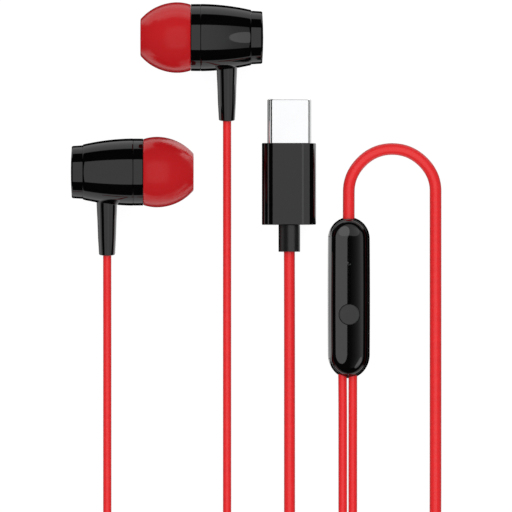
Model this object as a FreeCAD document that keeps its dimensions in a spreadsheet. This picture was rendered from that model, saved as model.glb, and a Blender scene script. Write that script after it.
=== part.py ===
"""Wired in-ear earphones with a USB-C plug and an in-line remote.

Frame: +Z up, floor at z = 0, origin at the middle of the two earbuds' footprint.
The left bud points its tip to -X, the right bud to +X, and both stems point to -Y.
All sizes are millimetres.
"""
import FreeCAD
import Part
import Sketcher
import math
import os

V = FreeCAD.Vector

SIZES = [
    # ear tip, measured from its front opening along the bud's axis
    ("tip_len", 9.58), ("tip_mouth_r", 3.5), ("tip_wide_at", 7.03), ("tip_wide_r", 6.72),
    ("tip_front_arc", 9.28), ("tip_back_arc", 7.7), ("tip_rim_r", 6.27), ("tip_wall", 0.6),
    ("tip_web", 1.2), ("tip_bore_r", 2.5), ("tip_sleeve_r", 3.2), ("tip_sleeve_end", 8.9),
    # front ring and its nozzle
    ("nozzle_front", 5.1), ("nozzle_lip_r", 2.42), ("nozzle_neck_r", 2.15), ("nozzle_bore_r", 1.5),
    ("ring_front", 9.72), ("ring_back", 11.44), ("ring_r", 6.37), ("ring_wall", 0.9),
    ("spigot_r", 5.3), ("spigot_end", 12.4), ("mesh_thick", 0.15),
    # barrel, end cap and stem
    ("barrel_front", 11.5), ("barrel_back", 21.1), ("barrel_front_r", 6.4), ("barrel_back_r", 5.25),
    ("barrel_arc", 44.0), ("barrel_bore_r", 5.4), ("barrel_bore_back_r", 4.45),
    ("cap_front", 21.18), ("cap_back", 23.4), ("cap_r", 5.1), ("cap_back_r", 4.98),
    ("cap_edge", 0.25), ("cap_spigot", 20.4), ("cap_spigot_r", 4.38), ("cap_wall", 0.8),
    ("stem_at", 16.5), ("boss_root_r", 3.1), ("boss_top_r", 1.95), ("boss_root", 4.9),
    ("boss_top", 7.3), ("stem_top_r", 1.87), ("stem_end_r", 1.49), ("stem_end", 15.94),
    ("stem_bore_r", 0.8), ("stem_spigot_r", 1.2), ("stem_spigot", 5.5),
    # driver
    ("frame_front", 12.55), ("frame_back", 14.9), ("frame_front_r", 5.2), ("frame_back_r", 4.95),
    ("frame_bore_r", 4.35), ("frame_seat", 14.3), ("yoke_r", 3.2), ("yoke_bore_r", 2.3),
    ("yoke_front", 13.5), ("yoke_seat", 15.6), ("yoke_back", 16.1), ("magnet_r", 1.5),
    ("plate_back", 14.1), ("plate_r", 1.6), ("coil_in_r", 1.75), ("coil_out_r", 2.05),
    ("coil_front", 13.35), ("coil_back", 14.6), ("cone_r", 4.2), ("cone_front", 12.8),
    ("cone_thick", 0.12), ("lug_w", 4.4), ("lug_d", 3.0), ("lug_thick", 0.5), ("lug_at", 16.25),
    ("felt_r", 3.9), ("felt_at", 19.0), ("felt_thick", 0.3), ("knot_r", 0.95), ("knot_at", 17.4),
    ("knot_off", 3.65),
    # bud positions
    ("bud_axis_z", 6.73), ("left_tip_x", -5.02), ("left_axis_y", 17.35),
    ("right_tip_x", 5.12), ("right_axis_y", -8.28), ("stem_tilt", 10.0),
    # remote
    ("remote_x", 34.73), ("remote_top", -17.0), ("remote_w", 7.9), ("remote_len", 30.36),
    ("remote_end_r", 3.6), ("remote_split", 3.25), ("remote_high", 5.6), ("remote_wall", 0.95),
    ("remote_floor", 0.8), ("remote_inset", 0.45), ("remote_roof", 0.9), ("seam", 0.06),
    ("back_round", 1.6), ("front_round", 1.5), ("button_x", 34.8), ("button_y", -35.42),
    ("button_r", 1.96), ("button_gap", 0.1), ("button_top", 5.62), ("flange_r", 2.3),
    ("flange_low", 4.3), ("flange_high", 4.6), ("plunger_r", 0.6), ("plunger_low", 4.07),
    ("switch_w", 3.0), ("switch_low", 3.0), ("switch_top", 3.7), ("dome_r", 1.0),
    ("dome_top", 4.05), ("board_w", 4.6), ("board_len", 22.0), ("board_low", 2.2),
    ("mic_x", 34.75), ("mic_y", -25.68), ("mic_hole_r", 0.365), ("mic_w", 2.8), ("mic_len", 1.9),
    ("mic_top", 3.9), ("gasket_r", 1.2), ("gasket_bore_r", 0.5), ("gasket_top", 4.68),
    ("clamp_w", 4.8), ("clamp_len", 1.4), ("clamp_thick", 0.9), ("clamp_y", -44.2),
    ("cord_exit_z", 2.05),
    # plug
    ("plug_x", 23.36), ("plug_z", 2.6), ("plug_tip", 5.62), ("plug_front", -2.72),
    ("plug_back", -18.32), ("shell_w", 8.25), ("shell_high", 2.4), ("shell_round", 1.15),
    ("shell_wall", 0.28), ("shell_len", 11.4), ("house_w", 10.4), ("house_high", 5.2),
    ("house_round", 2.4), ("cavity_w", 8.7), ("cavity_high", 3.6), ("cavity_round", 1.2),
    ("cavity_front", 1.3), ("cavity_back", 1.2), ("insul_w", 7.55), ("insul_high", 1.7),
    ("insul_round", 0.8), ("insul_len", 10.2), ("insul_back", 0.6), ("slot_w", 6.6),
    ("slot_high", 0.95), ("slot_deep", 5.6), ("pin_w", 0.26), ("pin_thick", 0.1),
    ("pin_len", 4.4), ("pin_pitch", 0.5), ("plug_board_w", 7.4), ("plug_board_len", 8.2),
    ("plug_board_thick", 0.8), ("chip_w", 3.0), ("chip_thick", 0.75), ("relief_r", 2.035),
    ("relief_len", 5.15), ("relief_neck_r", 1.45), ("relief_neck", 6.4), ("relief_flange", 7.1),
    ("relief_flange_r", 1.75), ("relief_bore_r", 1.1),
    # cords, put-away coils and ties
    ("main_d", 2.1), ("thin_d", 1.5), ("main_coil_x", 37.25), ("main_coil_y", -100.0),
    ("main_coil_out", 14.92), ("main_coil_in", 5.47), ("coil_lift", 0.4), ("main_coil_high", 4.3),
    ("bud_coil_y", -98.0), ("left_coil_x", 2.13), ("right_coil_x", -20.75),
    ("bud_coil_out", 10.1), ("bud_coil_in", 4.85), ("bud_coil_high", 3.05),
    ("tie_band", 3.0), ("tie_wall", 0.35), ("tie_gap", 0.05), ("tie_slack", 0.3),
]

# Cord routes: hand points in millimetres, one list for each stretch that isn't coiled.
MAIN_REMOTE = [(34.69, -18.8, 2.05), (34.69, -15.2, 2.04), (34.68, -8.66, 1.45), (39.5, -3.84, 1.1),
               (46.3, -3.84, 1.05), (51.12, -8.66, 1.05), (51.12, -76.0, 1.05),
               (51.12, -84.5, 1.4), (51.12, -92.5, 3.5), (51.12, -100.0, 3.65)]
MAIN_PLUG = [(23.36, -19.0, 2.6), (23.37, -26.5, 2.56), (23.39, -34.0, 1.25), (23.4, -41.5, 1.05),
             (23.4, -73.6, 1.05), (23.4, -78.4, 2.85), (23.4, -85.0, 2.85),
             (23.38, -91.5, 1.5), (23.38, -100.0, 1.45)]
LEFT_BUD = [(11.48, 3.07, 4.21), (11.48, -3.0, 3.14), (11.48, -9.5, 1.15), (11.48, -16.5, 0.75),
            (11.48, -90.5, 0.75), (11.48, -98.0, 1.15)]
LEFT_REMOTE = [(2.13, -88.65, 2.7), (7.6, -88.4, 2.75), (14.6, -86.6, 2.5), (20.0, -83.9, 0.95),
               (25.0, -83.0, 0.75), (32.2, -83.0, 0.75), (35.49, -79.6, 0.75),
               (35.49, -65.0, 0.75), (35.49, -58.5, 1.0), (35.49, -52.0, 1.97), (35.49, -45.8, 2.05)]
RIGHT_BUD = [(-11.38, -22.56, 4.21), (-11.39, -28.63, 3.14), (-11.4, -35.1, 1.15),
             (-11.4, -42.1, 0.75), (-11.4, -90.5, 0.75), (-11.4, -98.0, 1.15)]
RIGHT_REMOTE = [(-20.75, -88.65, 2.7), (-15.3, -88.4, 2.75), (-8.6, -86.2, 2.45),
                (-2.6, -82.4, 0.95), (3.6, -80.2, 0.8), (8.9, -80.0, 2.45), (14.1, -80.0, 2.45),
                (19.2, -80.0, 0.8), (30.4, -80.1, 0.75), (33.5, -76.9, 0.75),
                (33.5, -65.0, 0.75), (33.5, -58.5, 1.0), (33.5, -52.0, 1.97), (33.5, -45.8, 2.05)]


class Size:
    """A sheet cell or a sum of cells: its number, and its text for an expression."""

    def __init__(self, value, text):
        self.value = value
        self.text = text

    def __add__(self, other):
        return Size(self.value + number(other), "(%s + %s)" % (self.text, text(other)))

    def __sub__(self, other):
        return Size(self.value - number(other), "(%s - %s)" % (self.text, text(other)))

    def __mul__(self, factor):
        return Size(self.value * number(factor), "%s * %s" % (self.text, text(factor)))

    def __truediv__(self, factor):
        return Size(self.value / number(factor), "%s / %s" % (self.text, text(factor)))

    def __neg__(self):
        return Size(-self.value, "(0 - %s)" % self.text)


class Sheet:
    """The spreadsheet, read by alias as an attribute."""

    def __init__(self, doc):
        self.sheet = doc.addObject("Spreadsheet::Sheet", "sizes")
        self.cells = {}
        for row, (alias, value) in enumerate(SIZES, start=1):
            self.sheet.set("A%d" % row, str(value))
            self.sheet.setAlias("A%d" % row, alias)
            self.cells[alias] = Size(value, "sizes." + alias)
        doc.recompute()

    def __getattr__(self, alias):
        return self.cells[alias]


def number(size):
    return size.value if isinstance(size, Size) else float(size)


def text(size):
    return size.text if isinstance(size, Size) else repr(float(size))


def bind(thing, prop, size):
    """Set a property from the sheet."""
    thing.setExpression(prop, text(size))


# ---------------------------------------------------------------- sketches and solids

def arc_between(start, end, radius):
    """The arc from start to end, bulging right of travel for a positive radius."""
    sx, sy = start
    ex, ey = end
    chord = math.hypot(ex - sx, ey - sy)
    lift = math.sqrt(max(radius * radius - chord * chord / 4.0, 0.0))
    side = 1.0 if radius > 0 else -1.0
    cx = (sx + ex) / 2.0 - side * lift * (ey - sy) / chord
    cy = (sy + ey) / 2.0 + side * lift * (ex - sx) / chord
    first = math.atan2(sy - cy, sx - cx)
    last = math.atan2(ey - cy, ex - cx)
    if radius < 0:
        first, last = last, first
    circle = Part.Circle(V(cx, cy, 0), V(0, 0, 1), abs(radius))
    return Part.ArcOfCircle(circle, first, last)


def pin(sketch, edge, point, axis, size):
    """Hold one coordinate of a vertex at a size from the sheet."""
    if number(size) == 0.0:
        sketch.addConstraint(Sketcher.Constraint("PointOnObject", edge, point, -2 if axis == "X" else -1))
        return
    index = sketch.addConstraint(Sketcher.Constraint("Distance" + axis, edge, point, number(size)))
    sketch.setExpression("Constraints[%d]" % index, text(size))


def outline(body, name, points, plane="XY_Plane"):
    """A closed outline: each point is (x, y), or (x, y, radius) when an arc leaves it."""
    sketch = body.newObject("Sketcher::SketchObject", name)
    support = [one for one in body.Origin.OriginFeatures if one.Role == plane][0]
    sketch.AttachmentSupport = [(support, "")]
    sketch.MapMode = "FlatFace"
    flat = [(number(one[0]), number(one[1])) for one in points]
    ends = []
    for here, one in enumerate(points):
        start = flat[here]
        end = flat[(here + 1) % len(points)]
        if len(one) == 3:
            sketch.addGeometry(arc_between(start, end, number(one[2])), False)
            ends.append((1, 2) if number(one[2]) > 0 else (2, 1))
        else:
            sketch.addGeometry(Part.LineSegment(V(start[0], start[1], 0), V(end[0], end[1], 0)), False)
            ends.append((1, 2))
    for here, one in enumerate(points):
        after = (here + 1) % len(points)
        sketch.addConstraint(Sketcher.Constraint("Coincident", here, ends[here][1], after, ends[after][0]))
        pin(sketch, here, ends[here][0], "X", one[0])
        pin(sketch, here, ends[here][0], "Y", one[1])
        if len(one) == 3:
            radius = one[2] if number(one[2]) > 0 else -one[2]
            index = sketch.addConstraint(Sketcher.Constraint("Radius", here, number(radius)))
            sketch.setExpression("Constraints[%d]" % index, text(radius))
    return sketch


def turned(doc, name, points):
    """A body turned about its own X axis from (along, radius) points."""
    body = doc.addObject("PartDesign::Body", name)
    sketch = outline(body, name + "_outline", points)
    turn = body.newObject("PartDesign::Revolution", name + "_turn")
    turn.Profile = sketch
    turn.ReferenceAxis = (sketch, ["H_Axis"])
    turn.Angle = 360
    sketch.Visibility = False
    doc.recompute()
    return body


def round_points(wide, long, corner):
    """A rounded rectangle centred on the origin, anticlockwise."""
    x_out = wide / 2
    y_out = long / 2
    x_in = x_out - corner
    y_in = y_out - corner
    return [(x_in, y_out * -1, corner), (x_out, y_in * -1), (x_out, y_in, corner), (x_in, y_out),
            (x_in * -1, y_out, corner), (x_out * -1, y_in), (x_out * -1, y_in * -1, corner),
            (x_in * -1, y_out * -1)]


def padded(doc, name, wide, long, corner, high):
    """A body padded up from a rounded rectangle on its own XY plane."""
    body = doc.addObject("PartDesign::Body", name)
    sketch = outline(body, name + "_outline", round_points(wide, long, corner))
    pad = body.newObject("PartDesign::Pad", name + "_pad")
    pad.Profile = sketch
    bind(pad, "Length", high)
    doc.recompute()
    return body, pad


def rounded_edges(doc, body, base, name, radius, level):
    """Round every edge that lies at one height of a padded body."""
    names = []
    for index, edge in enumerate(base.Shape.Edges, start=1):
        box = edge.BoundBox
        if abs(box.ZMin - level) < 1e-4 and abs(box.ZMax - level) < 1e-4:
            names.append("Edge%d" % index)
    fillet = body.newObject("PartDesign::Fillet", name)
    fillet.Base = (base, names)
    bind(fillet, "Radius", radius)
    doc.recompute()
    return fillet


def block(doc, name, x_len, y_len, z_len, x_at=0.0, y_at=0.0, z_at=0.0):
    """A Part box centred in X and Y on its place, standing on z_at."""
    box = doc.addObject("Part::Box", name)
    bind(box, "Length", x_len)
    bind(box, "Width", y_len)
    bind(box, "Height", z_len)
    bind(box, "Placement.Base.x", Size(number(x_at), text(x_at)) - x_len / 2)
    bind(box, "Placement.Base.y", Size(number(y_at), text(y_at)) - y_len / 2)
    bind(box, "Placement.Base.z", z_at)
    return box


def rod(doc, name, radius, length, x_at=0.0, y_at=0.0, z_at=0.0, turn=None):
    """A Part cylinder along its own Z axis."""
    bar = doc.addObject("Part::Cylinder", name)
    if turn is not None:
        bar.Placement = FreeCAD.Placement(V(0, 0, 0), turn)
    bind(bar, "Radius", radius)
    bind(bar, "Height", length)
    bind(bar, "Placement.Base.x", x_at)
    bind(bar, "Placement.Base.y", y_at)
    bind(bar, "Placement.Base.z", z_at)
    return bar


def taper(doc, name, root_r, top_r, length, x_at, y_at, turn):
    """A Part cone from its root circle."""
    cone = doc.addObject("Part::Cone", name)
    cone.Placement = FreeCAD.Placement(V(0, 0, 0), turn)
    bind(cone, "Radius1", root_r)
    bind(cone, "Radius2", top_r)
    bind(cone, "Height", length)
    bind(cone, "Placement.Base.x", x_at)
    bind(cone, "Placement.Base.y", y_at)
    return cone


def joined(doc, name, shapes):
    fuse = doc.addObject("Part::MultiFuse", name)
    fuse.Shapes = shapes
    return fuse


def cut(doc, name, base, tool):
    result = doc.addObject("Part::Cut", name)
    result.Base = base
    result.Tool = tool
    return result


def grouped(doc, name, pieces):
    group = doc.addObject("Part::Compound", name)
    group.Links = pieces
    return group


DOWN_STEM = FreeCAD.Rotation(V(1, 0, 0), 90)      # own +Z to -Y
FORWARD = FreeCAD.Rotation(V(1, 0, 0), -90)       # own +Z to +Y
UPRIGHT = FreeCAD.Rotation(V(0, 1, 0), -90)       # own +X to +Z
LENGTHWISE = FreeCAD.Rotation(V(0, 0, 1), 90)     # own +X to +Y


# ---------------------------------------------------------------- one earbud

def ear_tip(doc, s, side):
    """Silicone dome on a sleeve that grips the nozzle."""
    inner_wide = s.tip_wide_r - s.tip_wall
    return turned(doc, side + "_ear_tip", [
        (s.tip_web / 2, s.tip_bore_r),
        (s.tip_sleeve_end, s.tip_bore_r),
        (s.tip_sleeve_end, s.tip_sleeve_r),
        (s.tip_web, s.tip_sleeve_r),
        (s.tip_web, s.tip_sleeve_r + s.tip_wall, -(s.tip_front_arc - s.tip_wall)),
        (s.tip_wide_at, inner_wide, -(s.tip_back_arc - s.tip_wall)),
        (s.tip_len, s.tip_rim_r - s.tip_wall),
        (s.tip_len, s.tip_rim_r, s.tip_back_arc),
        (s.tip_wide_at, s.tip_wide_r, s.tip_front_arc),
        (0.0, s.tip_mouth_r),
    ])


def nozzle_ring(doc, s, side):
    """Front ring of the housing with the sound nozzle and a spigot for the barrel."""
    return turned(doc, side + "_nozzle_ring", [
        (s.nozzle_front, s.nozzle_bore_r),
        (s.ring_front + s.ring_wall, s.nozzle_bore_r),
        (s.ring_front + s.ring_wall, s.spigot_r - s.tip_wall),
        (s.spigot_end, s.spigot_r - s.tip_wall),
        (s.spigot_end, s.spigot_r),
        (s.ring_back, s.spigot_r),
        (s.ring_back, s.ring_r),
        (s.ring_front + s.cap_edge, s.ring_r),
        (s.ring_front, s.ring_r - s.cap_edge),
        (s.ring_front, s.nozzle_neck_r),
        (s.nozzle_front + s.tip_web, s.nozzle_neck_r),
        (s.nozzle_front + s.tip_web, s.nozzle_lip_r),
        (s.nozzle_front, s.nozzle_lip_r - s.cap_edge),
    ])


def nozzle_mesh(doc, s, side):
    """Fine wax screen just inside the nozzle's mouth."""
    front = s.nozzle_front + s.mesh_thick
    return turned(doc, side + "_nozzle_mesh", [
        (front, 0.0), (front + s.mesh_thick, 0.0),
        (front + s.mesh_thick, s.nozzle_bore_r - s.seam / 2), (front, s.nozzle_bore_r - s.seam / 2),
    ])


def barrel(doc, s, side):
    """Barrel-shaped housing with the boss that carries the stem."""
    skin = turned(doc, side + "_barrel_skin", [
        (s.barrel_front, 0.0),
        (s.barrel_back, 0.0),
        (s.barrel_back, s.barrel_back_r, s.barrel_arc),
        (s.barrel_front, s.barrel_front_r),
    ])
    boss = taper(doc, side + "_boss", s.boss_root_r, s.boss_top_r, s.boss_top - s.boss_root,
                 s.stem_at, -s.boss_root, DOWN_STEM)
    hollow = turned(doc, side + "_hollow", [
        (s.barrel_front - s.seam, 0.0),
        (s.barrel_back + s.seam, 0.0),
        (s.barrel_back + s.seam, s.barrel_bore_back_r),
        (s.spigot_end + s.seam, s.barrel_bore_r),
        (s.barrel_front - s.seam, s.barrel_bore_r),
    ])
    drill = rod(doc, side + "_boss_bore", s.stem_spigot_r + s.seam / 2, s.boss_top - s.coil_in_r,
                s.stem_at, -s.coil_in_r - s.seam, 0.0, DOWN_STEM)
    solid = joined(doc, side + "_barrel_solid", [skin, boss])
    tools = joined(doc, side + "_barrel_tools", [hollow, drill])
    return cut(doc, side + "_barrel", solid, tools)


def end_cap(doc, s, side):
    """Rear cap, a shallow cup with a slightly domed back."""
    return turned(doc, side + "_end_cap", [
        (s.cap_back - s.cap_wall, 0.0),
        (s.cap_back, 0.0, s.barrel_arc * 2),
        (s.cap_back - s.seam * 3, s.cap_back_r - s.cap_edge, s.cap_edge * 1.2),
        (s.cap_back - s.seam * 3 - s.cap_edge, s.cap_back_r),
        (s.cap_front, s.cap_r),
        (s.cap_front, s.cap_spigot_r),
        (s.cap_spigot, s.cap_spigot_r),
        (s.cap_spigot, s.cap_spigot_r - s.tip_wall),
        (s.cap_back - s.cap_wall, s.cap_spigot_r - s.tip_wall),
    ])


def stem(doc, s, side):
    """Tapered cord sleeve plugged into the barrel's boss."""
    sleeve = taper(doc, side + "_sleeve", s.stem_top_r, s.stem_end_r, s.stem_end - s.boss_top - s.seam,
                   s.stem_at, -s.boss_top - s.seam, DOWN_STEM)
    spigot = rod(doc, side + "_stem_spigot", s.stem_spigot_r, s.boss_top - s.stem_spigot + s.tip_wall,
                 s.stem_at, -s.stem_spigot, 0.0, DOWN_STEM)
    drill = rod(doc, side + "_stem_bore", s.stem_bore_r, s.stem_end,
                s.stem_at, -s.cap_edge, 0.0, DOWN_STEM)
    return cut(doc, side + "_stem", joined(doc, side + "_stem_solid", [sleeve, spigot]), drill)


def driver_frame(doc, s, side):
    """Ring that carries the diaphragm's edge and the yoke."""
    return turned(doc, side + "_driver_frame", [
        (s.frame_front, s.frame_bore_r),
        (s.frame_seat, s.frame_bore_r),
        (s.frame_seat, s.yoke_r + s.seam),
        (s.frame_back, s.yoke_r + s.seam),
        (s.frame_back, s.frame_back_r),
        (s.frame_front, s.frame_front_r),
    ])


def diaphragm(doc, s, side):
    """Thin dome with one rolled surround."""
    crest = s.cone_front
    roll = s.cone_front + s.mesh_thick
    rim = s.cone_front + s.tip_wall * 0.6
    return turned(doc, side + "_diaphragm", [
        (crest, 0.0),
        (crest + s.cone_thick, 0.0),
        (rim + s.cone_thick, s.coil_in_r),
        (roll + s.cone_thick, s.cone_r - s.coil_in_r * 0.75),
        (rim + s.cone_thick, s.cone_r),
        (rim, s.cone_r),
        (roll, s.cone_r - s.coil_in_r * 0.75),
        (rim, s.coil_in_r),
    ])


def voice_coil(doc, s, side):
    return turned(doc, side + "_voice_coil", [
        (s.coil_front, s.coil_in_r), (s.coil_back, s.coil_in_r),
        (s.coil_back, s.coil_out_r), (s.coil_front, s.coil_out_r),
    ])


def disc(doc, name, front, back, radius):
    return turned(doc, name, [(front, 0.0), (back, 0.0), (back, radius), (front, radius)])


def yoke(doc, s, side):
    """Steel cup round the magnet."""
    return turned(doc, side + "_yoke", [
        (s.yoke_front, s.yoke_bore_r), (s.yoke_seat, s.yoke_bore_r), (s.yoke_seat, 0.0),
        (s.yoke_back, 0.0), (s.yoke_back, s.yoke_r), (s.yoke_front, s.yoke_r),
    ])


def terminal_board(doc, s, side):
    """Small board behind the yoke, where the cord's wires are soldered."""
    return block(doc, side + "_terminal_board", s.lug_thick, s.lug_w, s.lug_d,
                 s.lug_at + s.lug_thick / 2, 0.0, -s.lug_d / 2)


def cord_knot(doc, s, side):
    """The knot that keeps the cord from being pulled out of the stem."""
    knot = doc.addObject("Part::Sphere", side + "_cord_knot")
    bind(knot, "Radius", s.knot_r)
    bind(knot, "Placement.Base.x", s.knot_at)
    bind(knot, "Placement.Base.y", -s.knot_off)
    return knot


def earbud(doc, s, side):
    """Every piece of one earbud, built along its own axis from the tip's mouth."""
    return [
        ear_tip(doc, s, side), nozzle_ring(doc, s, side), nozzle_mesh(doc, s, side),
        barrel(doc, s, side), end_cap(doc, s, side), stem(doc, s, side),
        driver_frame(doc, s, side), diaphragm(doc, s, side), voice_coil(doc, s, side),
        disc(doc, side + "_pole_plate", s.yoke_front, s.plate_back, s.plate_r),
        disc(doc, side + "_magnet", s.plate_back, s.yoke_seat, s.magnet_r),
        yoke(doc, s, side), terminal_board(doc, s, side),
        disc(doc, side + "_damper", s.felt_at, s.felt_at + s.felt_thick, s.felt_r),
        cord_knot(doc, s, side),
    ]


def placed(pieces, pose):
    """Move finished pieces from their own frame to their place on the object."""
    for piece in pieces:
        piece.Document.recompute()
        if any(path.startswith(("Placement", ".Placement")) for path, _ in piece.ExpressionEngine):
            for path in ("Placement.Base.x", "Placement.Base.y", "Placement.Base.z"):
                piece.setExpression(path, None)
        piece.Placement = pose.multiply(piece.Placement)


# ---------------------------------------------------------------- remote

def remote_back(doc, s):
    """Lower shell: a tray with the cords' openings in its ends."""
    body, pad = padded(doc, "back_tray", s.remote_w, s.remote_len, s.remote_end_r, s.remote_split)
    rounded_edges(doc, body, pad, "back_tray_round", s.back_round, 0.0)
    tray, _ = padded(doc, "back_hollow", s.remote_w - s.remote_wall * 2, s.remote_len - s.remote_wall * 2,
                     s.remote_end_r - s.remote_wall, s.remote_split)
    bind(tray, "Placement.Base.z", s.remote_floor)
    half = s.remote_len / 2
    holes = [
        rod(doc, "main_cord_hole", s.relief_bore_r, s.remote_len / 4, -0.04, half / 2 + half / 4,
            s.cord_exit_z, FORWARD),
        rod(doc, "thin_cord_hole_a", s.stem_bore_r, s.remote_len / 4, -1.23, -half / 2 - half / 4,
            s.cord_exit_z, DOWN_STEM),
        rod(doc, "thin_cord_hole_b", s.stem_bore_r, s.remote_len / 4, 0.76, -half / 2 - half / 4,
            s.cord_exit_z, DOWN_STEM),
    ]
    return cut(doc, "remote_back_shell", body, joined(doc, "back_tools", [tray] + holes))


def remote_front(doc, s):
    """Upper shell with the button's hole, the microphone's hole and a fine groove between."""
    wide = s.remote_w - s.remote_inset * 2
    long = s.remote_len - s.remote_inset * 2
    high = s.remote_high - s.remote_split - s.seam
    body, pad = padded(doc, "front_lid", wide, long, s.remote_end_r - s.remote_inset, high)
    rounded_edges(doc, body, pad, "front_lid_round", s.front_round, number(high))
    lid, _ = padded(doc, "front_hollow", s.remote_w - s.remote_wall * 2, s.remote_len - s.remote_wall * 2,
                    s.remote_end_r - s.remote_wall, high - s.remote_roof + 1.0)
    bind(lid, "Placement.Base.z", Size(-1.0, "-1.0"))
    middle = s.remote_top - s.remote_len / 2
    button_hole = rod(doc, "button_hole", s.button_r + s.button_gap, s.remote_high,
                      s.button_x - s.remote_x, s.button_y - middle, 0.0)
    mic_hole = rod(doc, "mic_hole", s.mic_hole_r, s.remote_high,
                   s.mic_x - s.remote_x, s.mic_y - middle, 0.0)
    groove = block(doc, "groove", s.cap_edge, s.mic_y - s.button_y, s.remote_high,
                   s.mic_x - s.remote_x, (s.mic_y + s.button_y) / 2 - middle, high - s.mesh_thick)
    tools = joined(doc, "front_tools", [lid, button_hole, mic_hole, groove])
    return cut(doc, "remote_front_shell", body, tools)


def button(doc, s):
    """Round key with a flange that holds it under the front shell."""
    return turned(doc, "button", [
        (s.flange_low, 0.0),
        (s.button_top, 0.0),
        (s.button_top, s.button_r - s.seam * 2),
        (s.button_top - s.seam * 2, s.button_r),
        (s.flange_high, s.button_r),
        (s.flange_high, s.flange_r),
        (s.flange_low, s.flange_r),
    ])


def remote(doc, s):
    """The in-line remote: two shells, the key, its switch, the board and the microphone."""
    middle = s.remote_top - s.remote_len / 2
    back = remote_back(doc, s)
    front = remote_front(doc, s)
    key = button(doc, s)
    doc.recompute()
    back.Placement = FreeCAD.Placement(V(number(s.remote_x), number(middle), 0), FreeCAD.Rotation())
    front.Placement = FreeCAD.Placement(
        V(number(s.remote_x), number(middle), number(s.remote_split + s.seam)), FreeCAD.Rotation())
    key.Placement = FreeCAD.Placement(V(number(s.button_x), number(s.button_y), 0), UPRIGHT)
    pieces = [back, front, key]
    pieces.append(rod(doc, "switch_plunger", s.plunger_r, s.flange_low - s.plunger_low,
                      s.button_x, s.button_y, s.plunger_low))
    pieces.append(rod(doc, "switch_dome", s.dome_r, s.dome_top - s.switch_top,
                      s.button_x, s.button_y, s.switch_top))
    pieces.append(block(doc, "switch_body", s.switch_w, s.switch_w, s.switch_top - s.switch_low,
                        s.button_x, s.button_y, s.switch_low))
    pieces.append(block(doc, "remote_board", s.board_w, s.board_len, s.switch_low - s.board_low,
                        s.remote_x, middle, s.board_low))
    pieces.append(block(doc, "microphone", s.mic_w, s.mic_len, s.mic_top - s.switch_low,
                        s.mic_x, s.mic_y, s.switch_low))
    ring = rod(doc, "gasket_ring", s.gasket_r, s.gasket_top - s.mic_top, s.mic_x, s.mic_y, s.mic_top)
    bore = rod(doc, "gasket_bore", s.gasket_bore_r, s.gasket_top, s.mic_x, s.mic_y, 0.0)
    pieces.append(cut(doc, "microphone_gasket", ring, bore))
    pieces.append(block(doc, "cord_clamp", s.clamp_w, s.clamp_len, s.clamp_thick,
                        s.remote_x, s.clamp_y, s.switch_low + s.seam))
    return pieces


# ---------------------------------------------------------------- plug

def plug_shell(doc, s):
    """Drawn steel shell of the USB-C plug."""
    skin, _ = padded(doc, "shell_skin", s.shell_w, s.shell_high, s.shell_round, s.shell_len)
    bore, _ = padded(doc, "shell_bore", s.shell_w - s.shell_wall * 2, s.shell_high - s.shell_wall * 2,
                     s.shell_round - s.shell_wall, s.shell_len + 2.0)
    bind(bore, "Placement.Base.z", Size(-1.0, "-1.0"))
    return cut(doc, "plug_shell", skin, bore)


def plug_insulator(doc, s):
    """Moulded block with the slot that takes the socket's tongue."""
    core, _ = padded(doc, "insulator_core", s.insul_w, s.insul_high, s.insul_round, s.insul_len)
    slot = block(doc, "insulator_slot", s.slot_w, s.slot_high, s.slot_deep + 1.0,
                 0.0, 0.0, s.insul_len - s.slot_deep)
    return cut(doc, "plug_insulator", core, slot)


def plug_contacts(doc, s):
    """Two rows of twelve springs lying on the slot's walls."""
    pins = []
    for row in (-1.0, 1.0):
        for column in range(12):
            across = s.pin_pitch * (column - 5.5)
            pins.append(block(doc, "pin", s.pin_w, s.pin_thick, s.pin_len, across,
                              (s.slot_high / 2 - s.pin_thick / 2) * row,
                              s.insul_len - s.slot_deep + s.pin_thick))
    return grouped(doc, "plug_contacts", pins)


def plug_housing(doc, s):
    """Over-moulded grip, hollow for the board, open for the shell and the strain relief."""
    long = s.plug_front - s.plug_back
    skin, _ = padded(doc, "grip_skin", s.house_w, s.house_high, s.house_round, long)
    room, _ = padded(doc, "grip_room", s.cavity_w, s.cavity_high, s.cavity_round,
                     long - s.cavity_front - s.cavity_back)
    bind(room, "Placement.Base.z", s.cavity_back)
    mouth, _ = padded(doc, "grip_mouth", s.shell_w + s.seam, s.shell_high + s.seam, s.shell_round, long)
    bind(mouth, "Placement.Base.z", long / 2)
    rear = rod(doc, "grip_rear", s.relief_neck_r + s.seam / 2, long / 2, 0.0, 0.0, Size(-1.0, "-1.0"))
    return cut(doc, "plug_housing", skin, joined(doc, "grip_tools", [room, mouth, rear]))


def strain_relief(doc, s):
    """Flexible sleeve behind the grip, turned from its free end forward."""
    return turned(doc, "strain_relief", [
        (0.0, s.relief_bore_r),
        (s.relief_flange, s.relief_bore_r),
        (s.relief_flange, s.relief_flange_r),
        (s.relief_neck, s.relief_flange_r),
        (s.relief_neck, s.relief_neck_r),
        (s.relief_len, s.relief_neck_r),
        (s.relief_len, s.relief_r),
        (0.0, s.relief_r),
    ])


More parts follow.
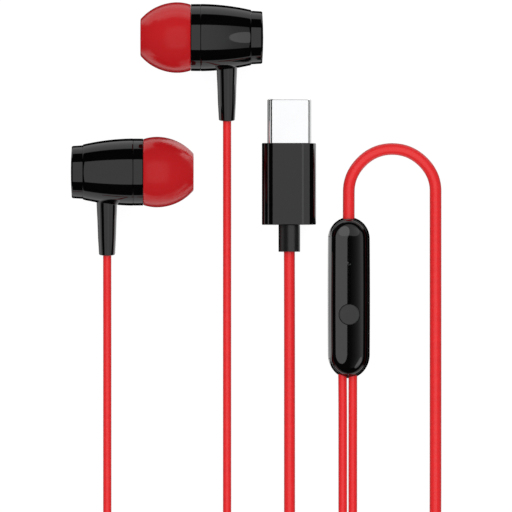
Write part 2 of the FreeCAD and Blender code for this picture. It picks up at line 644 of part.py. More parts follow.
def plug(doc, s):
    """The USB-C plug: shell, insulator, contacts, board, chip, grip and strain relief."""
    long = s.plug_front - s.plug_back
    grip = plug_housing(doc, s)
    steel = plug_shell(doc, s)
    core = plug_insulator(doc, s)
    pins = plug_contacts(doc, s)
    relief = strain_relief(doc, s)
    board = block(doc, "plug_board", s.plug_board_w, s.plug_board_thick, s.plug_board_len,
                  0.0, 0.0, s.cavity_back + s.tip_wall + s.chip_thick)
    chip = block(doc, "audio_chip", s.chip_w, s.chip_thick, s.chip_w,
                 0.0, -s.plug_board_thick / 2 - s.chip_thick / 2, long / 2 - s.chip_w)
    doc.recompute()
    tip = number(s.plug_tip)
    starts = [(grip, number(s.plug_back)), (steel, tip - number(s.shell_len)),
              (core, tip - number(s.insul_len + s.insul_back)),
              (pins, tip - number(s.insul_len + s.insul_back)),
              (board, number(s.plug_back)), (chip, number(s.plug_back))]
    for piece, start in starts:
        placed([piece], FreeCAD.Placement(V(number(s.plug_x), start, number(s.plug_z)), FORWARD))
    end = number(s.plug_back - s.relief_len)
    placed([relief], FreeCAD.Placement(V(number(s.plug_x), end, number(s.plug_z)), LENGTHWISE))
    return [grip, steel, core, pins, board, chip, relief]


# ---------------------------------------------------------------- cords, coils and ties

def corner(before, point, after):
    """The tangent arc at one route point: its two ends, its middle and its radius."""
    back = before.sub(point)
    ahead = after.sub(point)
    reach = 0.45 * min(back.Length, ahead.Length)
    back.normalize()
    ahead.normalize()
    turn = math.pi - back.getAngle(ahead)
    radius = reach / math.tan(turn / 2.0)
    inward = back.add(ahead)
    inward.normalize()
    depth = radius / math.cos(turn / 2.0) - radius
    start = point.add(V(back).multiply(reach))
    end = point.add(V(ahead).multiply(reach))
    return start, point.add(inward.multiply(depth)), end, radius


def cord_path(points):
    """Straight runs joined by tangent arcs, and the smallest arc's radius."""
    places = [V(*one) for one in points]
    edges = []
    radii = []
    last = places[0]
    for before, here, after in zip(places, places[1:], places[2:]):
        start, middle, end, radius = corner(before, here, after)
        edges.append(Part.LineSegment(last, start).toShape())
        edges.append(Part.Arc(start, middle, end).toShape())
        radii.append(radius)
        last = end
    edges.append(Part.LineSegment(last, places[-1]).toShape())
    return Part.Wire(edges), radii


def cord_tube(doc, name, points, diameter):
    """A round cord along its route; prints its length, radii and volume check."""
    path, radii = cord_path(points)
    start = V(*points[0])
    heading = V(*points[1]).sub(start)
    ring = Part.Wire([Part.Circle(start, heading, number(diameter) / 2).toShape()])
    solid = path.makePipeShell([ring], True, False)
    expected = math.pi * number(diameter) ** 2 / 4 * path.Length
    print("%-16s length %7.2f volume %8.2f of %8.2f radii %s" % (
        name, path.Length, solid.Volume, expected, " ".join("%.1f" % one for one in radii)))
    tube = doc.addObject("Part::Feature", name)
    tube.Shape = solid
    return tube


def coil(doc, s, name, inner, outer, high, x_at, y_at, cord):
    """The put-away cord's outer shape: a flat ring with rounded edges."""
    edge = cord / 2
    body = turned(doc, name, [
        (0.0, inner + edge, -edge),
        (edge, inner),
        (high - edge, inner, -edge),
        (high, inner + edge),
        (high, outer - edge, edge),
        (high - edge, outer),
        (edge, outer, edge),
        (0.0, outer - edge),
    ])
    body.Placement = FreeCAD.Placement(V(number(x_at), number(y_at), number(s.coil_lift)), UPRIGHT)
    return body


def tie(doc, s, name, inner, outer, high, x_at, y_at):
    """A flat band round one side of a coil."""
    wide = outer - inner + s.tie_slack
    across = y_at - inner + s.tie_slack / 2 - (outer - inner) / 2
    gap = s.tie_gap * 2
    shell = s.tie_wall * 2
    band = block(doc, name + "_band", s.tie_band, wide + gap + shell, high + gap + shell, x_at, across, 0.0)
    inside = block(doc, name + "_inside", s.tie_band * 2, wide + gap, high + gap, x_at, across, s.tie_wall)
    return cut(doc, name, band, inside)


def cords(doc, s):
    """All cord stretches, the put-away coils and their ties."""
    main = (s.main_coil_in, s.main_coil_out, s.main_coil_high)
    bud = (s.bud_coil_in, s.bud_coil_out, s.bud_coil_high)
    return [
        cord_tube(doc, "main_cord_remote", MAIN_REMOTE, s.main_d),
        cord_tube(doc, "main_cord_plug", MAIN_PLUG, s.main_d),
        cord_tube(doc, "left_cord_bud", LEFT_BUD, s.thin_d),
        cord_tube(doc, "left_cord_remote", LEFT_REMOTE, s.thin_d),
        cord_tube(doc, "right_cord_bud", RIGHT_BUD, s.thin_d),
        cord_tube(doc, "right_cord_remote", RIGHT_REMOTE, s.thin_d),
        coil(doc, s, "main_coil", *main, s.main_coil_x, s.main_coil_y, s.main_d),
        coil(doc, s, "left_coil", *bud, s.left_coil_x, s.bud_coil_y, s.thin_d),
        coil(doc, s, "right_coil", *bud, s.right_coil_x, s.bud_coil_y, s.thin_d),
        tie(doc, s, "main_tie", *main, s.main_coil_x, s.main_coil_y),
        tie(doc, s, "left_tie", *bud, s.left_coil_x, s.bud_coil_y),
        tie(doc, s, "right_tie", *bud, s.right_coil_x, s.bud_coil_y),
    ]


# ---------------------------------------------------------------- the whole object

def checked(doc, pieces):
    """Stop on any failed object or bad shape."""
    for thing in doc.Objects:
        if "Invalid" in thing.State or "Error" in thing.State:
            raise RuntimeError("failed: %s %s" % (thing.Name, thing.State))
    for piece in pieces:
        if piece.Shape.isNull() or not piece.Shape.isValid():
            raise RuntimeError("bad shape: %s" % piece.Label)


def main():
    doc = FreeCAD.newDocument("earphones")
    s = Sheet(doc)
    tilt = FreeCAD.Rotation(V(1, 0, 0), number(s.stem_tilt))
    about = FreeCAD.Rotation(V(0, 1, 0), 180)
    left = earbud(doc, s, "left")
    right = earbud(doc, s, "right")
    placed(left, FreeCAD.Placement(
        V(number(s.left_tip_x), number(s.left_axis_y), number(s.bud_axis_z)), tilt))
    placed(right, FreeCAD.Placement(
        V(number(s.right_tip_x), number(s.right_axis_y), number(s.bud_axis_z)), tilt.multiply(about)))
    pieces = left + right + remote(doc, s) + plug(doc, s) + cords(doc, s)
    doc.recompute()
    for piece in pieces:
        piece.Label = piece.Name
    checked(doc, pieces)
    os.makedirs("parts", exist_ok=True)
    for piece in pieces:
        piece.Shape.exportStep(os.path.join("parts", piece.Label + ".step"))
    print("%d pieces" % len(pieces))


main()
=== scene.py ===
"""Wired in-ear earphones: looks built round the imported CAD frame.

Lengths are millimetres unless their names end in _m or a comment says metres.
"""

import math

import bmesh
import bpy
from mathutils import Matrix, Vector


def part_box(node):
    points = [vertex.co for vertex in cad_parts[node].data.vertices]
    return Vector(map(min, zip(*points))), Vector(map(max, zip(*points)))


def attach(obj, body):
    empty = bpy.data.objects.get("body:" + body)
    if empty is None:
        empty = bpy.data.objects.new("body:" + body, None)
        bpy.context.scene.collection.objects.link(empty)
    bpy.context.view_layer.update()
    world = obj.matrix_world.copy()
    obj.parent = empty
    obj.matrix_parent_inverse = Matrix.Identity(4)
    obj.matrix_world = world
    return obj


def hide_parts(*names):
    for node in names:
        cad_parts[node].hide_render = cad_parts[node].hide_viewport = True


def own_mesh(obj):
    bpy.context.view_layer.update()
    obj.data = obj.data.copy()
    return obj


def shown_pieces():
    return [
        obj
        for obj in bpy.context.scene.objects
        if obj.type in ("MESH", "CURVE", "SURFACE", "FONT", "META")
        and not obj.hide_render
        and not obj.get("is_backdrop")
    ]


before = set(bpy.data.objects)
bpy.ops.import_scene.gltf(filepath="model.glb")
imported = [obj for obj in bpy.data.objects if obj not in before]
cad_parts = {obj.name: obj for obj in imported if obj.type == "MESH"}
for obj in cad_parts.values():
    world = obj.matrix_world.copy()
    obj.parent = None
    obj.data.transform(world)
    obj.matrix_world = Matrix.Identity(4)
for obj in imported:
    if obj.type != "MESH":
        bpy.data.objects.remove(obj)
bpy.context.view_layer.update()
MM = 0.001
TAU = 2.0 * math.pi


# ------------------------------------------------------------------ camera

def make_camera():
    """Straight down over the middle of the picture, with a long lens."""
    data = bpy.data.cameras.new("camera")
    data.type = "PERSP"
    data.sensor_width = 36.0
    data.lens = 1000.0
    data.clip_start = 0.05
    data.clip_end = 40.0
    camera = bpy.data.objects.new("camera", data)
    bpy.context.scene.collection.objects.link(camera)
    wide = 97.7
    high = 2.6 + wide * data.lens / data.sensor_width
    camera.location = (17.0 * MM, -24.27 * MM, high * MM)
    camera.rotation_euler = (0.0, 0.0, 0.0)
    bpy.context.scene.camera = camera


make_camera()


# ------------------------------------------------------------------ node helpers

def new_material(name):
    material = bpy.data.materials.new(name)
    material.use_nodes = True
    tree = material.node_tree
    return material, tree, tree.nodes["Principled BSDF"]


def node(tree, kind, **settings):
    made = tree.nodes.new(kind)
    for key, value in settings.items():
        setattr(made, key, value)
    return made


def mapped(tree, scale=(1.0, 1.0, 1.0)):
    """The piece's own coordinates, scaled."""
    source = node(tree, "ShaderNodeTexCoord")
    mapping = node(tree, "ShaderNodeMapping")
    mapping.inputs["Scale"].default_value = scale
    tree.links.new(source.outputs["Object"], mapping.inputs["Vector"])
    return mapping.outputs["Vector"]


def noise(tree, vector, scale, detail=3.0, rough=0.5):
    made = node(tree, "ShaderNodeTexNoise")
    made.inputs["Scale"].default_value = scale
    made.inputs["Detail"].default_value = detail
    made.inputs["Roughness"].default_value = rough
    tree.links.new(vector, made.inputs["Vector"])
    return made.outputs["Fac"]


def spread(tree, value, low, high):
    """A 0..1 value moved to low..high."""
    made = node(tree, "ShaderNodeMapRange")
    made.inputs["To Min"].default_value = low
    made.inputs["To Max"].default_value = high
    tree.links.new(value, made.inputs["Value"])
    return made.outputs["Result"]


def blend_colours(tree, value, first, second):
    made = node(tree, "ShaderNodeMix", data_type="RGBA")
    made.inputs[6].default_value = (*first, 1.0)
    made.inputs[7].default_value = (*second, 1.0)
    tree.links.new(value, made.inputs[0])
    return made.outputs[2]


def bump(tree, shader, height, strength, distance_m):
    made = node(tree, "ShaderNodeBump")
    made.inputs["Strength"].default_value = strength
    made.inputs["Distance"].default_value = distance_m
    tree.links.new(height, made.inputs["Height"])
    tree.links.new(made.outputs["Normal"], shader.inputs["Normal"])


def math_node(tree, operation, first, second=None):
    made = node(tree, "ShaderNodeMath", operation=operation)
    for slot, value in ((0, first), (1, second)):
        if value is None:
            continue
        if isinstance(value, (int, float)):
            made.inputs[slot].default_value = value
        else:
            tree.links.new(value, made.inputs[slot])
    return made.outputs[0]


# ------------------------------------------------------------------ materials

WEAVE_ALONG_M = 0.00052
WEAVE_ROUND_M = 0.00047
WIRE_PITCH_M = 0.00022


def moulded(name, dark, light, rough_low, rough_high, grain=900.0, grain_depth=0.0):
    """Moulded plastic: faint colour cloud, uneven polish and a fine surface."""
    material, tree, shader = new_material(name)
    place = mapped(tree)
    cloud = noise(tree, place, 160.0, 3.0)
    tree.links.new(blend_colours(tree, cloud, dark, light), shader.inputs["Base Color"])
    polish = noise(tree, place, 420.0, 4.0)
    tree.links.new(spread(tree, polish, rough_low, rough_high), shader.inputs["Roughness"])
    if grain_depth:
        bump(tree, shader, noise(tree, place, grain, 4.0, 0.6), 0.5, grain_depth)
    return material


def silicone(name):
    """Satin silicone: soft, slightly translucent, with a fine moulded skin."""
    material, tree, shader = new_material(name)
    place = mapped(tree)
    cloud = noise(tree, place, 120.0, 2.0)
    colour = blend_colours(tree, cloud, (0.640, 0.0108, 0.0150), (0.700, 0.0135, 0.0180))
    tree.links.new(colour, shader.inputs["Base Color"])
    polish = noise(tree, place, 700.0, 4.0)
    tree.links.new(spread(tree, polish, 0.17, 0.25), shader.inputs["Roughness"])
    shader.inputs["Subsurface Weight"].default_value = 0.12
    shader.inputs["Subsurface Radius"].default_value = (1.0, 0.18, 0.12)
    shader.inputs["Subsurface Scale"].default_value = 0.0007
    shader.inputs["Specular IOR Level"].default_value = 0.42
    shader.inputs["Sheen Weight"].default_value = 0.04
    shader.inputs["Sheen Roughness"].default_value = 0.4
    bump(tree, shader, noise(tree, place, 3600.0, 3.0, 0.6), 0.25, 0.000004)
    return material


def cord_jacket(name, length_m, diameter_m):
    """Satin red jacket with a fine crossed weave that follows the cord."""
    material, tree, shader = new_material(name)
    source = node(tree, "ShaderNodeTexCoord")
    split = node(tree, "ShaderNodeSeparateXYZ")
    tree.links.new(source.outputs["UV"], split.inputs["Vector"])
    along = math_node(tree, "MULTIPLY", split.outputs["X"], length_m / WEAVE_ALONG_M)
    around = math_node(tree, "MULTIPLY", split.outputs["Y"], round(math.pi * diameter_m / WEAVE_ROUND_M))
    waves = [math_node(tree, "SINE", math_node(tree, "MULTIPLY", math_node(tree, way, along, around), TAU))
             for way in ("ADD", "SUBTRACT")]
    weave = math_node(tree, "MULTIPLY", *waves)
    level = node(tree, "ShaderNodeMapRange")
    level.inputs["From Min"].default_value = -1.0
    level.inputs["From Max"].default_value = 1.0
    tree.links.new(weave, level.inputs["Value"])
    place = mapped(tree)
    cloud = noise(tree, place, 900.0, 3.0)
    mixed = math_node(tree, "ADD", math_node(tree, "MULTIPLY", level.outputs["Result"], 0.65),
                      math_node(tree, "MULTIPLY", cloud, 0.35))
    colour = blend_colours(tree, mixed, (0.72, 0.0070, 0.0105), (0.82, 0.0135, 0.0160))
    tree.links.new(colour, shader.inputs["Base Color"])
    shader.inputs["Specular IOR Level"].default_value = 0.42
    shader.inputs["Sheen Weight"].default_value = 0.2
    shader.inputs["Sheen Roughness"].default_value = 0.5
    tree.links.new(spread(tree, mixed, 0.34, 0.24), shader.inputs["Roughness"])
    bump(tree, shader, mixed, 0.4, 0.00003)
    return material


def steel(name, tone, rough_low, rough_high, direction):
    """Drawn steel: fine lines along one direction and faint smudges."""
    material, tree, shader = new_material(name)
    place = mapped(tree, direction)
    lines = noise(tree, place, 300.0, 4.0, 0.7)
    smudge = noise(tree, mapped(tree), 260.0, 2.0)
    low = tuple(part * 0.96 for part in tone)
    tree.links.new(blend_colours(tree, smudge, low, tone), shader.inputs["Base Color"])
    shader.inputs["Metallic"].default_value = 1.0
    tree.links.new(spread(tree, lines, rough_low, rough_high), shader.inputs["Roughness"])
    bump(tree, shader, lines, 0.12, 0.000004)
    return material


def screen(name):
    """Fine woven wire screen: bright crossings and dark holes."""
    material, tree, shader = new_material(name)
    source = node(tree, "ShaderNodeTexCoord")
    split = node(tree, "ShaderNodeSeparateXYZ")
    tree.links.new(source.outputs["Object"], split.inputs["Vector"])
    rows = math_node(tree, "SINE", math_node(tree, "MULTIPLY", split.outputs["Y"], TAU / WIRE_PITCH_M))
    columns = math_node(tree, "SINE", math_node(tree, "MULTIPLY", split.outputs["Z"], TAU / WIRE_PITCH_M))
    holes = math_node(tree, "MAXIMUM", rows, columns)
    wire = math_node(tree, "GREATER_THAN", holes, 0.1)
    colour = blend_colours(tree, wire, (0.01, 0.01, 0.01), (0.52, 0.52, 0.54))
    tree.links.new(colour, shader.inputs["Base Color"])
    shader.inputs["Metallic"].default_value = 0.9
    tree.links.new(spread(tree, holes, 0.5, 0.28), shader.inputs["Roughness"])
    bump(tree, shader, holes, 0.6, 0.00004)
    return material


def fibre(name, low, high):
    """Pressed felt."""
    material, tree, shader = new_material(name)
    place = mapped(tree)
    hairs = noise(tree, place, 5200.0, 6.0, 0.75)
    tree.links.new(blend_colours(tree, hairs, low, high), shader.inputs["Base Color"])
    shader.inputs["Roughness"].default_value = 0.95
    shader.inputs["Sheen Weight"].default_value = 0.3
    bump(tree, shader, hairs, 0.8, 0.00006)
    return material


def board(name):
    """Solder mask with copper tracks showing through."""
    material, tree, shader = new_material(name)
    place = mapped(tree)
    tracks = node(tree, "ShaderNodeTexBrick")
    tracks.inputs["Scale"].default_value = 900.0
    tracks.inputs["Mortar Size"].default_value = 0.03
    tracks.inputs["Color1"].default_value = (0.010, 0.085, 0.030, 1.0)
    tracks.inputs["Color2"].default_value = (0.013, 0.105, 0.038, 1.0)
    tracks.inputs["Mortar"].default_value = (0.045, 0.21, 0.075, 1.0)
    tree.links.new(place, tracks.inputs["Vector"])
    tree.links.new(tracks.outputs["Color"], shader.inputs["Base Color"])
    tree.links.new(spread(tree, noise(tree, place, 1500.0), 0.28, 0.42), shader.inputs["Roughness"])
    bump(tree, shader, tracks.outputs["Fac"], 0.3, 0.00003)
    return material


GLOSS = moulded("gloss_black_plastic", (0.0010, 0.0010, 0.0011), (0.0019, 0.0019, 0.0021), 0.035, 0.06)
GRIP = moulded("plug_grip_plastic", (0.0009, 0.0009, 0.0010), (0.0016, 0.0016, 0.0018),
               0.05, 0.09, 1500.0, 0.000002)
# painted highlight: this plastic is far lighter than the grip's, so the raised line reads as a light line
PAINTED_HIGHLIGHT_LINE = moulded("parting_line_plastic", (0.024, 0.024, 0.0245), (0.030, 0.030, 0.0305),
               0.2, 0.28, 1500.0, 0.000002)
RELIEF = moulded("strain_relief_rubber", (0.007, 0.007, 0.0075), (0.010, 0.010, 0.0105), 0.26, 0.36,
                 2600.0, 0.000008)
KEY = moulded("button_matt_plastic", (0.020, 0.020, 0.0215), (0.027, 0.027, 0.0285),
              0.46, 0.58, 4200.0, 0.000012)
INNER = moulded("inner_black_moulding", (0.008, 0.008, 0.008), (0.016, 0.016, 0.016),
                0.4, 0.55, 2400.0, 0.00001)
TIE = moulded("tie_black_band", (0.008, 0.008, 0.0085), (0.014, 0.014, 0.0145), 0.45, 0.6, 3000.0, 0.00002)
FILM = moulded("diaphragm_film", (0.48, 0.44, 0.34), (0.56, 0.52, 0.42), 0.2, 0.32, 2500.0, 0.000006)
COPPER = moulded("voice_coil_wire", (0.50, 0.19, 0.07), (0.62, 0.27, 0.11), 0.22, 0.36, 6000.0, 0.00002)
SILICONE = silicone("ear_tip_silicone")
STEEL = steel("plug_steel", (0.93, 0.935, 0.945), 0.10, 0.17, (1.0, 0.06, 1.0))
MAGNET = steel("magnet_nickel", (0.62, 0.61, 0.60), 0.14, 0.26, (1.0, 1.0, 1.0))
GOLD = steel("contact_gold", (0.86, 0.60, 0.22), 0.14, 0.24, (1.0, 0.1, 1.0))
SCREEN = screen("nozzle_screen")
FELT = fibre("damper_felt", (0.62, 0.61, 0.58), (0.86, 0.85, 0.82))
BOARD = board("board_solder_mask")


# ------------------------------------------------------------------ mesh helpers

def fillet(points, closed=False, steps=7):
    """Profile points (x, y) or (x, y, radius): corners with a radius become arcs."""
    made = []
    count = len(points)
    for here, point in enumerate(points):
        radius = point[2] if len(point) > 2 else 0.0
        if radius <= 0.0 or (not closed and here in (0, count - 1)):
            made.append(Vector((point[0], point[1])))
            continue
        corner = Vector(point[:2])
        back = Vector(points[here - 1][:2]) - corner
        ahead = Vector(points[(here + 1) % count][:2]) - corner
        half = back.angle(ahead) / 2.0
        reach = min(radius / math.tan(half), back.length * 0.48, ahead.length * 0.48)
        radius = reach * math.tan(half)
        middle = (back.normalized() + ahead.normalized()).normalized()
        centre = corner + middle * (radius / math.sin(half))
        start = corner + back.normalized() * reach - centre
        end = corner + ahead.normalized() * reach - centre
        turn = start.angle_signed(end)
        for step in range(steps + 1):
            angle = -turn * step / steps
            made.append(centre + Vector((start.x * math.cos(angle) - start.y * math.sin(angle),
                                         start.x * math.sin(angle) + start.y * math.cos(angle))))
    return made


def arc_points(start, end, radius, steps):
    """Points of an arc that bulges to the left of start to end, both ends included."""
    first = Vector(start)
    last = Vector(end)
    chord = last - first
    normal = Vector((-chord.y, chord.x)).normalized()
    centre = (first + last) / 2.0 - normal * math.sqrt(radius * radius - chord.length_squared / 4.0)
    low = math.atan2(first.y - centre.y, first.x - centre.x)
    high = math.atan2(last.y - centre.y, last.x - centre.x)
    if high > low:
        high -= TAU
    return [(centre.x + radius * math.cos(low + (high - low) * step / steps),
             centre.y + radius * math.sin(low + (high - low) * step / steps)) for step in range(steps + 1)]


def finish_mesh(name, build, material, body, sharp=32.0):
    """Put a bmesh in the scene as a shaded piece that rides on a body."""
    bmesh.ops.recalc_face_normals(build, faces=build.faces)
    mesh = bpy.data.meshes.new(name)
    build.to_mesh(mesh)
    build.free()
    mesh.materials.append(material)
    for face in mesh.polygons:
        face.use_smooth = True
    mesh.set_sharp_from_angle(angle=math.radians(sharp))
    piece = bpy.data.objects.new(name, mesh)
    bpy.context.scene.collection.objects.link(piece)
    if body:
        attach(piece, body)
    return piece


def ring_verts(build, points):
    return [build.verts.new(point) for point in points]


def bridge(build, first, second):
    """Quads between two rings, or a fan where one is a single point."""
    count = max(len(first), len(second))
    for here in range(count):
        after = (here + 1) % count
        if len(first) == 1:
            build.faces.new((first[0], second[after], second[here]))
        elif len(second) == 1:
            build.faces.new((first[here], first[after], second[0]))
        else:
            build.faces.new((first[here], first[after], second[after], second[here]))


def lathe(name, profile, pose, material, body, closed=False, around=144, sharp=32.0, extra=None):
    """Turn (along, radius) points, in millimetres, about the X axis of a pose."""
    build = bmesh.new()
    rings = []
    for along, radius in profile:
        if radius < 1e-6:
            rings.append(ring_verts(build, [pose @ Vector((along * MM, 0.0, 0.0))]))
            continue
        circle = []
        for step in range(around):
            angle = TAU * step / around
            across = radius * MM * math.cos(angle)
            up = radius * MM * math.sin(angle)
            circle.append(pose @ Vector((along * MM, across, up)))
        rings.append(ring_verts(build, circle))
    for first, second in zip(rings, rings[1:]):
        bridge(build, first, second)
    if closed:
        bridge(build, rings[-1], rings[0])
    if extra:
        extra(build)
    return finish_mesh(name, build, material, body, sharp)


# ------------------------------------------------------------------ cords

THICK_CORD = 2.1
THIN_CORD = 1.5
COIL_SWELL = 1.012      # a curve of order 3 runs a little inside its points
END_POINTS = 14         # so many points at each end have the end's own thickness

# The routes' given points, in millimetres, as the CAD has them.
MAIN_REMOTE = [(34.69, -18.8, 2.05), (34.69, -15.2, 2.04), (34.72, -8.72, 1.45), (39.6, -3.84, 1.15),
               (46.4, -3.84, 1.07), (51.28, -8.66, 1.07), (51.28, -15.0, 1.07), (51.28, -67.5, 1.07),
               (51.24, -76.0, 1.07), (51.12, -84.5, 1.4), (51.12, -92.5, 3.5), (51.12, -100.0, 3.65)]
MAIN_PLUG = [(23.36, -19.0, 2.6), (23.37, -26.5, 2.56), (23.39, -34.0, 1.25), (23.4, -41.5, 1.05),
             (23.4, -68.6, 1.05), (23.4, -73.6, 1.05), (23.4, -78.4, 2.85), (23.4, -85.0, 2.85),
             (23.38, -91.5, 1.5), (23.38, -100.0, 1.45)]
LEFT_BUD = [(11.48, 3.07, 4.21), (11.48, -3.0, 3.14), (11.48, -9.5, 1.15), (11.48, -16.5, 0.75),
            (11.48, -23.5, 0.75), (11.48, -83.0, 0.75), (11.48, -90.5, 0.75), (11.48, -98.0, 1.15)]
LEFT_REMOTE = [(2.13, -88.65, 2.7), (7.6, -88.4, 2.75), (14.6, -86.6, 2.5), (20.0, -83.9, 0.95),
               (25.0, -83.0, 0.75), (32.2, -83.0, 0.75), (35.48, -79.6, 0.8), (35.48, -74.9, 0.81),
               (35.48, -65.0, 0.81), (35.48, -58.5, 1.02), (35.48, -52.0, 1.97), (35.48, -45.8, 2.05)]
RIGHT_BUD = [(-11.38, -22.56, 4.21), (-11.39, -28.63, 3.14), (-11.4, -35.1, 1.15),
             (-11.4, -42.1, 0.75), (-11.4, -49.0, 0.75), (-11.4, -83.0, 0.75), (-11.4, -90.5, 0.75),
             (-11.4, -98.0, 1.15)]
RIGHT_REMOTE = [(-20.75, -88.65, 2.7), (-15.3, -88.4, 2.75), (-8.6, -86.2, 2.45),
                (-2.6, -82.4, 0.95), (3.6, -80.2, 0.8), (8.9, -80.0, 2.45), (14.1, -80.0, 2.45),
                (19.2, -80.0, 0.8), (26.0, -80.0, 0.75), (30.4, -80.1, 0.75), (33.56, -76.9, 0.8),
                (33.56, -72.4, 0.81), (33.56, -65.0, 0.81), (33.56, -58.5, 1.02),
                (33.55, -52.0, 1.97), (33.5, -45.8, 2.05)]


def coil_points(centre, start_angle, way, outer, pitch, inward, climb, low, high, per_turn=16):
    """Turns of a neat two-layer coil: inward on the floor layer, up, and outward on top."""
    total = inward + climb + inward
    count = round(total * per_turn)
    inner = outer - pitch * inward
    points = []
    for step in range(count + 1):
        turn = total * step / count
        if turn <= inward:
            radius = outer - pitch * turn
            level = low
        elif turn <= inward + climb:
            radius = inner
            share = (turn - inward) / climb
            level = low + (high - low) * share * share * (3.0 - 2.0 * share)
        else:
            radius = inner + pitch * (turn - inward - climb)
            level = high
        angle = start_angle + way * TAU * turn
        radius *= COIL_SWELL
        points.append((centre[0] + radius * math.cos(angle), centre[1] + radius * math.sin(angle), level))
    return points


def cord_curve(name, points, diameter, first=1.0, last=1.0):
    """One open NURBS spline of order 3 with a round section, its two ends a little thicker or thinner."""
    data = bpy.data.curves.new(name, "CURVE")
    data.dimensions = "3D"
    data.bevel_depth = diameter / 2.0 * MM
    data.bevel_resolution = 9
    data.resolution_u = 10
    data.use_fill_caps = True
    spline = data.splines.new("NURBS")
    spline.points.add(len(points) - 1)
    for here, (slot, point) in enumerate(zip(spline.points, points)):
        slot.co = (point[0] * MM, point[1] * MM, point[2] * MM, 1.0)
        slot.radius = first if here < END_POINTS else last if here >= len(points) - END_POINTS else 1.0
    spline.order_u = 3
    spline.use_endpoint_u = True
    spline.use_smooth = True
    piece = bpy.data.objects.new(name, data)
    bpy.context.scene.collection.objects.link(piece)
    return piece


def curve_length(piece):
    """Length of a curve's own line, in metres."""
    depth = piece.data.bevel_depth
    piece.data.bevel_depth = 0.0
    bpy.context.view_layer.update()
    line = bpy.data.meshes.new_from_object(piece.evaluated_get(bpy.context.evaluated_depsgraph_get()))
    total = sum((line.vertices[edge.vertices[0]].co - line.vertices[edge.vertices[1]].co).length
                for edge in line.edges)
    bpy.data.meshes.remove(line)
    piece.data.bevel_depth = depth
    return total


def make_cords():
    """The three cords, with their put-away turns between their two visible ends."""
    thin = {"start_angle": 0.0, "way": -1.0, "outer": 9.35, "pitch": THIN_CORD, "inward": 2.5, "climb": 0.75,
            "low": 1.15, "high": 2.7}
    main_turns = coil_points((37.25, -100.0), start_angle=math.pi, way=1.0, outer=13.87, pitch=THICK_CORD,
                             inward=3.5, climb=0.5, low=1.45, high=3.65)
    left_turns = coil_points((2.13, -98.0), **thin)
    right_turns = coil_points((-20.75, -98.0), **thin)
    routes = {
        "main_cord": (MAIN_REMOTE + main_turns[::-1][1:-1] + MAIN_PLUG[::-1], THICK_CORD, 1.065, 1.005),
        "left_cord": (LEFT_BUD + left_turns[1:-1] + LEFT_REMOTE, THIN_CORD, 1.045, 1.1),
        "right_cord": (RIGHT_BUD + right_turns[1:-1] + RIGHT_REMOTE, THIN_CORD, 1.045, 1.1),
    }
    made = {}
    for name, (points, diameter, first, last) in routes.items():
        piece = cord_curve(name, points, diameter, first, last)
        length = curve_length(piece)
        print("CORD", name, round(length, 4))
        piece.data.materials.append(cord_jacket(name + "_jacket", length, diameter * MM))
        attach(piece, "root")
        made[name] = (piece, length)
    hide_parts("main_cord_remote", "main_cord_plug", "main_coil")
    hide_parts("left_cord_bud", "left_cord_remote", "left_coil")
    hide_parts("right_cord_bud", "right_cord_remote", "right_coil")
    return made


CORDS = make_cords()


# ------------------------------------------------------------------ earbuds

BUD_TILT = 10.0
LEFT_MOUTH = (-5.02, 17.35, 6.73)
RIGHT_MOUTH = (5.12, -8.28, 6.73)
STEM_AT = 16.5


def bud_pose(side):
    """The CAD's own placement of one bud: X runs from the tip's mouth to the rear cap."""
    tilt = Matrix.Rotation(math.radians(BUD_TILT), 4, "X")
    if side == "left":
        return Matrix.Translation(Vector(LEFT_MOUTH) * MM) @ tilt
    about = Matrix.Rotation(math.pi, 4, "Y")
    return Matrix.Translation(Vector(RIGHT_MOUTH) * MM) @ tilt @ about


BARREL_ARC = arc_points((11.5, 6.40), (21.1, 5.25), 44.0, 48)


def barrel_radius(along):
    """The barrel's outer radius at one place along its axis."""
    for (x0, r0), (x1, r1) in zip(BARREL_ARC, BARREL_ARC[1:]):
        if x0 <= along <= x1:
            return r0 + (r1 - r0) * (along - x0) / (x1 - x0)
    return BARREL_ARC[0][1] if along < BARREL_ARC[0][0] else BARREL_ARC[-1][1]


def ear_tip(side):
    front = arc_points((0.16, 3.66), (7.03, 6.72), 9.28, 30)
    back = arc_points((7.03, 6.72), (9.5, 6.31), 7.7, 12)
    inner_front = arc_points((1.35, 4.05), (7.03, 6.12), 8.68, 20)
    profile = [(0.62, 2.5), (0.34, 2.62), (0.14, 2.8), (0.04, 3.0), (0.0, 3.22), (0.02, 3.42), (0.07, 3.56)]
    profile += front + back[1:]
    profile += [(9.555, 6.27), (9.58, 6.2), (9.58, 6.0), (9.57, 5.86), (9.5, 5.76), (9.3, 5.74)]
    profile += [(8.3, 5.99)] + inner_front[::-1] + [(1.2, 3.82), (1.2, 3.5), (1.24, 3.3), (1.4, 3.2)]
    profile += [(8.75, 3.2), (8.87, 3.14), (8.9, 3.05), (8.9, 2.62), (8.86, 2.53), (8.75, 2.5)]
    piece = lathe(side + "_tip", profile, bud_pose(side), SILICONE, side + "_tip", closed=True,
                  around=160, sharp=60)
    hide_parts(side + "_ear_tip")


def front_ring(side):
    profile = fillet([(5.1, 1.5, 0.08), (10.62, 1.5, 0.1), (10.62, 4.7, 0.1), (12.4, 4.7, 0.1),
                      (12.4, 5.3, 0.1), (11.48, 5.3, 0.03), (11.48, 6.385, 0.05), (9.62, 6.37, 0.12),
                      (9.62, 2.15, 0.1), (6.3, 2.15, 0.1), (6.3, 2.42, 0.12), (5.1, 2.42, 0.22)], closed=True)
    piece = lathe(side + "_front_ring", profile, bud_pose(side), GLOSS, "root", closed=True, around=160)
    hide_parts(side + "_nozzle_ring")


